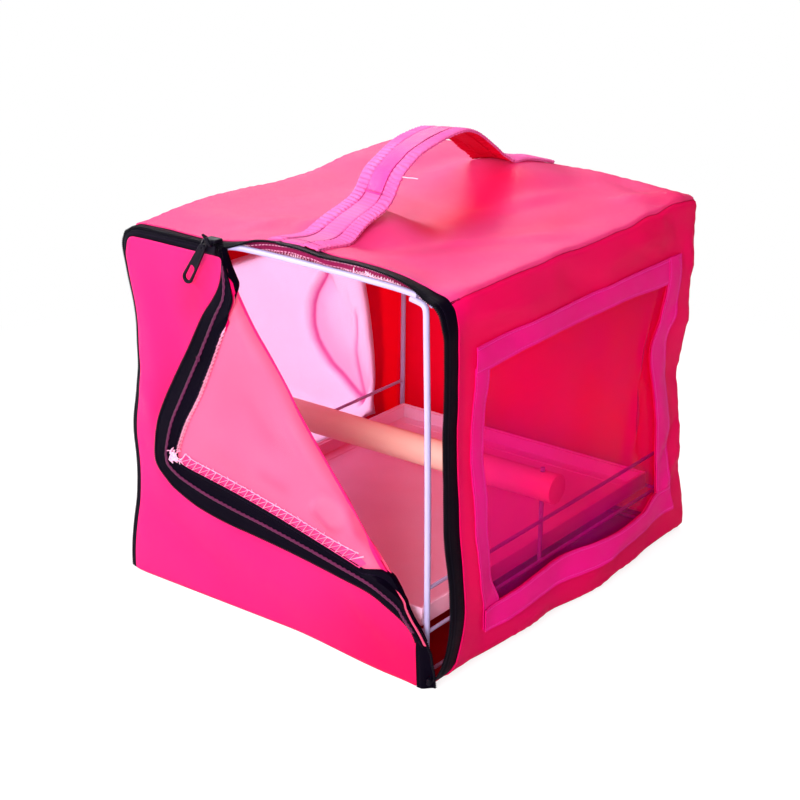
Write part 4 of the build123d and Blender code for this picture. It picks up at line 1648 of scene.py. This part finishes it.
def makeHem():
    # the roof cloth's serged allowance, hanging just behind the open edge
    rows, flat, edge = [], [], []
    for x in span(-36, 121, 150):
        drop = 7.6 * ease((x + 36) / 22) * (1 - 0.35 * ease((x - 40) / 30)) * ease((124 - x) / 16) + 0.3
        drop += 0.9 * noise.noise(Vector((x / 5, 2, 0))) + 0.5 * noise.noise(Vector((x / 1.7, 4, 0)))
        top = ringPoint((2, 1, x), -141.5, -1.6 + zipHalf["openTilt"] * 5.5 * openShare((2, 1, x)))
        row, flatRow = [], []
        for k in range(7):
            part = k / 6
            row.append(top + Vector((0, -1.8 * part + 0.8 * math.sin(x / 3.1) * part, -drop * part)))
            flatRow.append((x, part * drop, 0))
        rows.append(row)
        flat.append(flatRow)
        edge.append((row[-1], row[-3]))
    piece = gridPiece("roofHem", rows, flat, ["hem"], (0, -1, 0), thick=0.5)
    declare(piece)
    paths = [[], []]
    for n, (low, high) in enumerate(edge):
        paths[0].append((low if n % 2 else high) + Vector((0, -0.5, -0.2)))
        paths[1].append(low + Vector((0, -0.4, 0.5 * math.sin(n * 1.3))))
    for n in range(3, len(edge) - 3, 5):
        low = edge[n][0]
        paths.append([low + Vector((0.4 * k * math.sin(n), -0.3 * k, -0.75 * k + 0.12 * k * k))
            for k in range(4)])
    for n in range(70, len(edge) - 12, 2):
        # the fringe stands out most near the right corner
        low, drift = edge[n][0], 1.2 + 2.2 * ease((n
            - 70) / 20) * abs(noise.noise(Vector((n * 0.37, 5, 5)))) * 2
        paths.append([low
            + Vector((1.1 * math.sin(n * 2.1) * t, -0.5 * t,
                (drift * math.sin(n * 1.3) + 0.6) * t - 0.5 * t * t)) for t in span(0, 1.6, 4)])
    threads = tubePiece("hemThreads", paths, 0.36, "whiteThread")
    mount(threads, "carrier", "cover_fabric")


makeFlapHem()
makeFlapThreads()
makeSeamShadowLines()
makeHem()
print("carrier: threads made")

# handle

strapStitches = {
    "along": (-134, 134), "arch": (-66, 70), "feet": ((-134, -100), (104, 134)),
    "satin": (-60, 74), "acrossSatin": (-59.0, 73.0), "acrossFeet": (-133.0, 132.5), "tail": -50,
}
strap = {"x": 6.5, "drift": -9.0, "half": 19.0, "thick": 1.6, "edge": 7.6, "rib": 0.55, "pitch": 3.3,
    "curl": 0.5, "skew": 4.5, "tilt": 1.8,
         "arch": [(-86, 13.8), (-74, 17.0), (-68, 18.8), (-62.5, 21.5), (-58, 25.7), (-53, 32.6), (-48, 37.6),
             (-40, 41.9), (-28, 47.2), (-12, 51.2),
                  (0, 52.9), (10, 53.6), (18, 53.2), (30, 49.6), (41, 44.8), (53, 39.0), (64, 33.2),
                  (72, 28.0), (79, 24.4)]}


def roofHeight(x, y):
    return sleevePoint(2, 1, [x, y, 0.0], 0.0, seam=False).z


def strapMiddle(y):
    # the strap is sewn a little askew
    return strap["x"] + strap["drift"] * ease((y - 10) / 80)


def strapCentre():
    base = [(y, roofHeight(strap["x"], y) + 0.9) for y in (-139, -128, -116, -106)]
    base += [(-97, roofHeight(strap["x"], -97) + 1.6)]
    line = [Vector((0, y, z)) for y, z in base]
    line += [Vector((0, y, 250 + z)) for y, z in strap["arch"]]
    line += [Vector((0, y, roofHeight(strapMiddle(y), y) + 1.3)) for y in (88, 98, 110, 124, 138.5)]
    return evenLine(softLine(line), 560)


def strapPoint(line, n, across, lift):
    before, after = line[max(n - 2, 0)], line[min(n + 2, len(line) - 1)]
    along = (after - before).normalized()
    out = Vector((0, -along.z, along.y))
    y = line[n].y
    foot = max(ease((-92 - y) / 22), ease((y - 82) / 12))
    lift -= strap["curl"] * (across / strap["half"]) ** 2 * (1 - foot)
    width = 1.0 + 0.05 * foot
    x = strapMiddle(y) + across * width
    # its right edge bends up sooner and stands a little higher
    share = across / strap["half"]
    sooner = strap["skew"] * share * ease((y + 104) / 26) * ease((-6 - y) / 26)
    higher = strap["tilt"] * share * ease((y + 72) / 40) * ease((62 - y) / 32)
    # feet lie on the roof, the arch keeps its own line
    rest = roofHeight(x, y) - roofHeight(strapMiddle(y), y) if foot > 0 else 0.0
    return line[n] + Vector((x, -sooner, rest * foot + higher)) + out * lift


def strapLift(length, across):
    # pleated edges, a stitched valley, and a smooth middle
    away = abs(across)
    inEdge = ease((away - strap["edge"]) / 1.6) * ease((strap["half"] - away) / 0.8)
    wave = math.sin(2 * math.pi * (length / strap["pitch"] + 0.35
        * noise.noise(Vector((length / 6, across / 9, 0)))) + 0.12 * across)
    rib = strap["rib"] * wave * inEdge
    valley = -0.45 * bell(away - strap["edge"], 0.7)
    crown = 0.35 * inEdge
    return rib + valley + crown + 0.25 * noise.noise(Vector((length / 25, across / 12, 4)))


def nearestAt(line, y):
    return min(range(len(line)), key=lambda k: abs(line[k].y - y))


def makeStrap():
    line = strapCentre()
    step = (line[1] - line[0]).length
    acrosses = span(-strap["half"], strap["half"], 38)
    rows, flat = [], []
    for n in range(len(line)):
        length = n * step
        rows.append([strapPoint(line, n, a, strapLift(length, a) + strap["thick"] / 2) for a in acrosses])
        flat.append([(length, a + strap["half"], 0) for a in acrosses])
    middle = next(n for n, p in enumerate(line) if p.y > 15)
    halves = (("handleStrap.front", 0, middle + 1, ["handle_foot_front", "handle_strap"], (-0.102, -0.070)),
              ("handleStrap.rear", middle, len(line), ["handle_foot_rear"], (0.102, 0.076)))
    for name, first, last, nodes, (start, end) in halves:
        piece = gridPiece(name, rows[first:last], flat[first:last], ["webbing", "undersideShade"], up,
            thick=strap["thick"])
        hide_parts(*nodes)
        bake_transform(piece)
        length = (last - first) * step
    # the satin strip over the grip
    half = strap["edge"] - 0.2
    rows, flat = [], []
    for n, p in enumerate(line):
        if strapStitches["satin"][0] < p.y < strapStitches["satin"][1]:
            length = n * step
            acrosses = span(-half, half, 14)
            rows.append([strapPoint(line, n, a, 0.4 + strap["thick"] / 2 + 0.35 * math.cos(a / half * 1.4)
                + 0.18 * noise.noise(Vector((length / 9, a / 5, 8)))) for a in acrosses])
            flat.append([(length, a + 10, 0) for a in acrosses])
    strip = gridPiece("satinStrip", rows, flat, ["satin"], up, thick=0.7)
    declare(strip, body="handle", nodes=["handle_grip_strip"],
        slot="satin_strip")
    # seam threads along the strap, across the strip's ends, and a loose tail
    paths = []
    for side in (-1, 1):
        run = []
        for n, p in enumerate(line):
            if strapStitches["along"][0] < p.y < strapStitches["along"][1]:
                run.append((n, side * strap["edge"]))
        paths.append([strapPoint(line, n, a, strap["thick"] / 2 + 0.15 + 0.18 * math.sin(n * 1.7)) for n,
            a in run])

    def cut(low, high):
        return [[p for p in path if low <= p.y <= high] for path in paths]

    lean = cut(*strapStitches["arch"])
    for y in strapStitches["acrossSatin"]:
        n = nearestAt(line, y)
        lean.append([strapPoint(line, n + (k % 2), a,
            strap["thick"] / 2 + 1.25 if abs(a) < 8 else strap["thick"] / 2 + 0.5) for k,
            a in enumerate(span(-9.5, 9.5, 18))])
    threads = tubePiece("handleThreads", lean, 0.22, "plumThread")
    mount(threads, "handle", "webbing")
    feet = cut(*strapStitches["feet"][0]) + cut(*strapStitches["feet"][1])
    for y in strapStitches["acrossFeet"]:
        n = nearestAt(line, y)
        feet.append([strapPoint(line, n + (k % 2), a, strap["thick"] / 2 + 0.55) for k,
            a in enumerate(span(-17, 17, 32))])
    tail = strapPoint(line, next(n for n, p in enumerate(line) if p.y > strapStitches["tail"]),
        strap["half"] - 1, 0.6)
    loose = tubePiece("handleTail",
        [[tail + Vector((1.0 * t, 0.3 * t, 0.12 * math.sin(t))) for t in span(0, 11, 10)]], 0.32,
        "whiteThread")
    mount(loose, "handle", "webbing")
    threads = tubePiece("handleFootThreads", feet, 0.22, "plumThread")
    mount(threads, "carrier", "webbing")


makeStrap()
print("carrier: handle made")

# slider and pull

slider = {"x": -48.8, "axis": (-48.8, -157.0, 255.0)}
# its front plate, crown, rear plate, nose and hump: (off its middle, y, z, size, bevel, segments)
sliderBlocks = [
    (0, -153.9, 248.6, (9.8, 2.8, 6.4), 1.3, 4),
    (0, -151.0, 253.9, (10.2, 8.0, 2.3), 1.1, 4),
    (0, -147.1, 250.8, (8.8, 1.6, 6.2), 0.7, 3),
    (-4.6, -153.7, 248.6, (2.6, 2.4, 5.0), 1.0, 3),
    (0, -154.6, 252.8, (5.6, 2.6, 4.2), 1.1, 3),
]
pull = {"long": 37.0, "wide": 7.8, "thick": 1.5, "hole": (5.2, 13.0), "turn": 12.0, "neck": 6.0}


def addBlock(place, size, bevel, segments=3, turn=0.0):
    block = addShape(bpy.ops.mesh.primitive_cube_add, size=1.0)
    block.scale = Vector(size) * mm
    settle(block)
    block.rotation_euler = (0, turn, 0)
    block.location = Vector(place) * mm
    settle(block)
    applyModifier(block, "BEVEL", width=bevel * mm, segments=segments)
    return block


def addRod(ends, radius):
    a, b = Vector(ends[0]) * mm, Vector(ends[1]) * mm
    rod = addShape(bpy.ops.mesh.primitive_cylinder_add, vertices=20, radius=radius * mm, depth=(b - a).length)
    rod.rotation_mode = "QUATERNION"
    rod.rotation_quaternion = (b - a).to_track_quat("Z", "Y")
    rod.location = (a + b) / 2
    settle(rod)
    applyModifier(rod, "BEVEL", width=0.25 * mm, segments=2)
    return rod


def makeSlider():
    x = slider["x"]
    blocks = [addBlock((x + off, y, z), size, bevel, segments) for off, y, z, size, bevel,
        segments in sliderBlocks]
    # the bar that carries the pull
    lean = Vector((-0.7071, 0, 0.7071))
    axis = Vector(slider["axis"])
    rods = [addRod((axis - lean * 4.6, axis + lean * 4.6), 0.85)]
    for side in (-1, 1):
        rods.append(addRod((axis + lean * 4.0 * side, Vector((x, -154.0, 253.2)) + lean * 3.4 * side), 0.9))
    joined = joinPieces("zipSlider", blocks + rods)
    smooth(joined, 40)
    joined.data.materials.append(finish["zipMetal"])
    mount(joined, "slider", "zip_metal", "zip_slider")


def roundOutline(low, high, lowHalf, highHalf, steps=10):
    # a long shape with round ends: low and high are its ends along the pull
    points = []
    for k in range(steps + 1):
        angle = math.pi * k / steps
        points.append((low + lowHalf - lowHalf * math.sin(angle), lowHalf * math.cos(angle)))
    for k in range(steps + 1):
        angle = math.pi * k / steps
        points.append((high - highHalf + highHalf * math.sin(angle), -highHalf * math.cos(angle)))
    return points


def makePull():
    curve = bpy.data.curves.new("zipPull", "CURVE")
    curve.dimensions = "2D"
    curve.fill_mode = "BOTH"
    curve.extrude = (pull["thick"] / 2 - 0.3) * mm
    curve.bevel_depth = 0.3 * mm
    curve.bevel_resolution = 2
    length, half = pull["long"], pull["wide"] / 2
    holeHalf, holeLong = pull["hole"][0] / 2, pull["hole"][1]
    outlines = [roundOutline(pull["neck"] - 1.5, length, half * 0.62, half),
                roundOutline(length - 1.7 - holeLong, length - 1.7, holeHalf, holeHalf),
                roundOutline(pull["neck"] - 0.2, pull["neck"] + 1.9, 0.9, 0.9)]
    for outline in outlines:
        spline = curve.splines.new("POLY")
        spline.points.add(len(outline) - 1)
        for n, (along, across) in enumerate(outline):
            spline.points[n].co = (along * mm, across * mm, 0, 1)
        spline.use_cyclic_u = True
    focusOn(addPiece("zipPull", curve))
    bpy.ops.object.convert(target="MESH")
    tab = bpy.context.object
    # along the pull, across it, and out of the door
    axis = Vector(slider["axis"]) * mm
    turn = math.radians(45 + pull["turn"])
    along = Vector((-math.cos(turn), 0, -math.sin(turn)))
    out = Vector((0, -1, 0))
    across = out.cross(along)
    for vertex in tab.data.vertices:
        u, v, w = vertex.co
        sag = 0.0012 * ease((u / mm - 6) / 30)
        vertex.co = axis + along * u + across * v + out * (w - sag)
    # a small link holds the tab to the slider's bar
    link = []
    bar = Vector(slider["axis"])
    for k in range(33):
        angle = 2 * math.pi * k / 32
        link.append(bar + along * (3.2 - 4.6 * math.cos(angle)) + across * (1.9 * math.sin(angle)))
    ring = tubePiece("pullLink", [link], 0.62, "zipMetal")
    tab.data.materials.append(finish["zipMetal"])
    joined = joinPieces("zipPull", [tab, ring])
    smooth(joined, 40)
    mount(joined, "pull", "zip_metal", "zip_pull")


makeSlider()
makePull()
print("carrier: slider and pull made")

# wires that the cloth draws out of true

bentWires = {
    "top_wire_front": [(-114, -144.6, 243.4), (-75, -144.2, 244.4), (-55, -144.2, 246.0),
        (-38, -144.5, 249.6), (-20, -144.5, 250.4), (20, -144.6, 250.2), (70, -144.8, 249.4),
        (92, -144.8, 248.6), (106, -144.8, 247.2)],
    "post_front_right": [(116.8, -144.8, 3.5), (116.4, -144.8, 80), (115.0, -144.9, 160),
        (113.0, -145.0, 225), (112.6, -145.0, 237), (111.6, -145.0, 241.2), (108.8, -145.0, 243.2),
        (101.5, -145.2, 244.8)],
    "top_wire_right": [(114.0, -143.0, 242.6), (115.6, -136, 244.4), (117, -122, 246.6), (117, -90, 247.5),
        (117, 20, 247.5), (117, 138.2, 247.5)],
}


def makeBentWires():
    for node, points in bentWires.items():
        piece = tubePiece(node.replace("_", "."), [softLine(points, 10)], 2.0, "coatedWire", sides=16)
        mount(piece, "carrier", "coated_wire", node)


perchForm = {"radius": 10.3, "half": 126.0, "centre": (-14.0, 84.0), "slope": 0.6}


def makePerch():
    perch = addShape(bpy.ops.mesh.primitive_cylinder_add, vertices=56, radius=perchForm["radius"] * mm,
        depth=2 * perchForm["half"] * mm, rotation=(0, math.pi / 2, 0))
    settle(perch)
    applyModifier(perch, "BEVEL", width=0.7 * mm, segments=3, limit_method="ANGLE",
        angle_limit=math.radians(60))
    focusOn(perch)
    bpy.ops.object.mode_set(mode="EDIT")
    for n in range(1, 48):
        bpy.ops.mesh.select_all(action="SELECT")
        place = (-perchForm["half"] + 2 * perchForm["half"] * n / 48) * mm
        bpy.ops.mesh.bisect(plane_co=(place, 0, 0), plane_no=(1, 0, 0))
    bpy.ops.object.mode_set(mode="OBJECT")
    y, z = perchForm["centre"]
    for vertex in perch.data.vertices:
        p = vertex.co / mm
        radial = Vector((0, p.y, p.z))
        swell = 1 + 0.022 * noise.noise(Vector((p.x / 38, p.y / 9,
            p.z / 9))) + 0.008 * noise.noise(Vector((p.x / 9, p.y / 5, p.z / 5)))
        vertex.co = Vector((p.x, radial.y * swell + y,
            radial.z * swell + z + perchForm["slope"] * p.x / perchForm["half"])) * mm
    perch.data.materials.append(finish["wood"])
    # the wire ends show in small drilled holes on top, drawn as dark discs of painted shade
    holes = []
    for x in (-114.2, 114.2):
        top = z + perchForm["radius"] + perchForm["slope"] * x / perchForm["half"]
        hole = addShape(bpy.ops.mesh.primitive_cylinder_add, vertices=24, radius=1.7 * mm, depth=1.2 * mm,
            location=Vector((x, y, top - 0.35)) * mm)
        settle(hole)
        applyModifier(hole, "BEVEL", width=0.25 * mm, segments=2)
        hole.data.materials.append(finish["holeShade"])
        holes.append(hole)
    joined = joinPieces("perchRod", [perch] + holes)
    smooth(joined, 40)
    mount(joined, "perch", "perch_wood", "perch")


tray = {"low": 32.6, "high": 44.55, "wide": 111.5, "front": -142.8, "rear": 132.2, "corner": 3.5, "wall": 2.0,
    "rim": 1.4,
        "lip": 0.8, "bottom": 2.6, "dish": 9.0, "dishDeep": 0.6}


def makeTray():
    pan = addShape(bpy.ops.mesh.primitive_cube_add, size=1.0)
    pan.scale = (2 * tray["wide"] * mm, (tray["rear"] - tray["front"]) * mm,
        (tray["high"] - tray["low"]) * mm)
    pan.location = (0, (tray["rear"] + tray["front"]) / 2 * mm, (tray["high"] + tray["low"]) / 2 * mm)
    settle(pan)
    focusOn(pan)
    bpy.ops.object.mode_set(mode="EDIT")
    shape = bmesh.from_edit_mesh(pan.data)
    for edge in shape.edges:
        edge.select_set(abs(edge.verts[0].co.z - edge.verts[1].co.z) > 0.005)
    bmesh.update_edit_mesh(pan.data)
    bpy.ops.mesh.bevel(offset=tray["corner"] * mm, segments=8)
    bpy.ops.mesh.select_all(action="DESELECT")
    bpy.ops.mesh.select_mode(type="FACE")
    shape = bmesh.from_edit_mesh(pan.data)
    for face in shape.faces:
        face.select_set(face.normal.z > 0.9)
    bmesh.update_edit_mesh(pan.data)
    deep = tray["high"] - tray["low"] - tray["bottom"]
    for inset, drop in ((tray["rim"], tray["lip"]), (tray["wall"], deep), (tray["dish"], tray["dishDeep"])):
        bpy.ops.mesh.inset(thickness=inset * mm)
        bpy.ops.mesh.extrude_region_move(TRANSFORM_OT_translate={"value": (0, 0, -drop * mm)})
    bpy.ops.object.mode_set(mode="OBJECT")
    applyModifier(pan, "BEVEL", width=0.7 * mm, segments=3, limit_method="ANGLE",
        angle_limit=math.radians(35))
    pan.name = "trayPan"
    pan.data.materials.append(finish["trayPlasticPinkBounce"])
    smooth(pan, 40)
    mount(pan, "tray", "tray_plastic", "floor_tray")


makeBentWires()
makePerch()
makeTray()
for node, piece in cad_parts.items():
    if "wire" in node or "post" in node or "stub" in node:
        piece.data.materials.clear()
        piece.data.materials.append(finish["coatedWire"])
print("carrier: frame finished")

# stage and light

stageSet = {"floor": 8.0, "world": 0.32, "near": 0.24, "far": 0.62, "paper": 0.30, "glow": 0.80, "plain": 0.7}
lamps = {
    "keySoftbox": {"place": (-1.15, -1.2, 1.0), "size": (0.9, 0.8), "power": 22.0},
    "frontSoftbox": {"place": (0.45, -1.75, 0.8), "size": (0.9, 0.7), "power": 32.0},
    "topSoftbox": {"place": (0.05, -0.1, 1.7), "size": (1.2, 1.2), "power": 9.0},
    "backSoftbox": {"place": (-1.0, 1.1, 1.15), "size": (0.55, 0.55), "power": 15.0},
    "sideSoftbox": {"place": (-1.6, 0.0, 0.4), "size": (1.0, 0.8), "power": 24.0},
    "fillSoftbox": {"place": (1.5, -0.7, 0.7), "size": (0.9, 0.8), "power": 2.5},
    "openingSoftbox": {"place": (0.75, -1.3, 0.5), "size": (0.5, 0.5), "power": 5.0},
}


def seenDirectly(tree):
    path = put(tree, "LightPath")
    return sums(tree, "MAXIMUM", path.outputs["Is Camera Ray"], path.outputs["Is Transmission Ray"])


def makeStage():
    floor = addShape(bpy.ops.mesh.primitive_plane_add, size=stageSet["floor"], location=(0, 0, -0.0003))
    floor.name = "paleFloor"
    settle(floor)
    material, tree, output = startMaterial("paleFloor")
    # near the carrier the floor takes its shadow, further out it is plain white
    away = put(tree, "VectorMath", {0: objectMap(tree)}, operation="LENGTH").outputs["Value"]
    clear = ramp(tree, away, stageSet["near"], stageSet["far"], 0.0, 1.0, interpolation_type="SMOOTHSTEP")
    paper = put(tree, "BsdfDiffuse", {"Color": (*[stageSet["paper"]] * 3, 1)})
    glow = put(tree, "Emission", {"Color": (1, 1, 1, 1), "Strength": stageSet["glow"]})
    shaded = put(tree, "AddShader", {0: paper.outputs[0], 1: glow.outputs[0]})
    white = put(tree, "Emission", {"Color": (1, 1, 1, 1), "Strength": 1.0})
    seenFloor = mixShaders(tree, clear, shaded, white)
    plain = put(tree, "BsdfDiffuse", {"Color": (*[stageSet["plain"]] * 3, 1)})
    seen = seenDirectly(tree)
    mixed = mixShaders(tree, seen, plain, seenFloor)
    showOn(tree, output, mixed)
    floor.data.materials.append(material)
    world = bpy.data.worlds.new("paleWorld")
    bpy.context.scene.world = world
    world.use_nodes = True
    tree = world.node_tree
    tree.nodes.clear()
    output = tree.nodes.new("ShaderNodeOutputWorld")
    dim = put(tree, "Background", {"Color": (1, 0.98, 0.99, 1), "Strength": stageSet["world"]})
    bright = put(tree, "Background", {"Color": (1, 1, 1, 1), "Strength": 1.0})
    seen = seenDirectly(tree)
    mixed = mixShaders(tree, seen, dim, bright)
    showOn(tree, output, mixed)


def addSoftbox(name, place, size, power, target=(0, 0, 0.12)):
    lamp = addShape(bpy.ops.object.light_add, type="AREA", location=place)
    lamp.name = name
    lamp.data.shape = "RECTANGLE"
    lamp.data.size, lamp.data.size_y = size
    lamp.data.energy = power
    lamp.rotation_mode = "QUATERNION"
    lamp.rotation_quaternion = (Vector(target) - Vector(place)).to_track_quat("-Z", "Y")


makeStage()
for label, lamp in lamps.items():
    addSoftbox(label, lamp["place"], lamp["size"], lamp["power"])
bpy.context.scene.view_settings.view_transform = "Standard"
print("carrier: stage and light set")
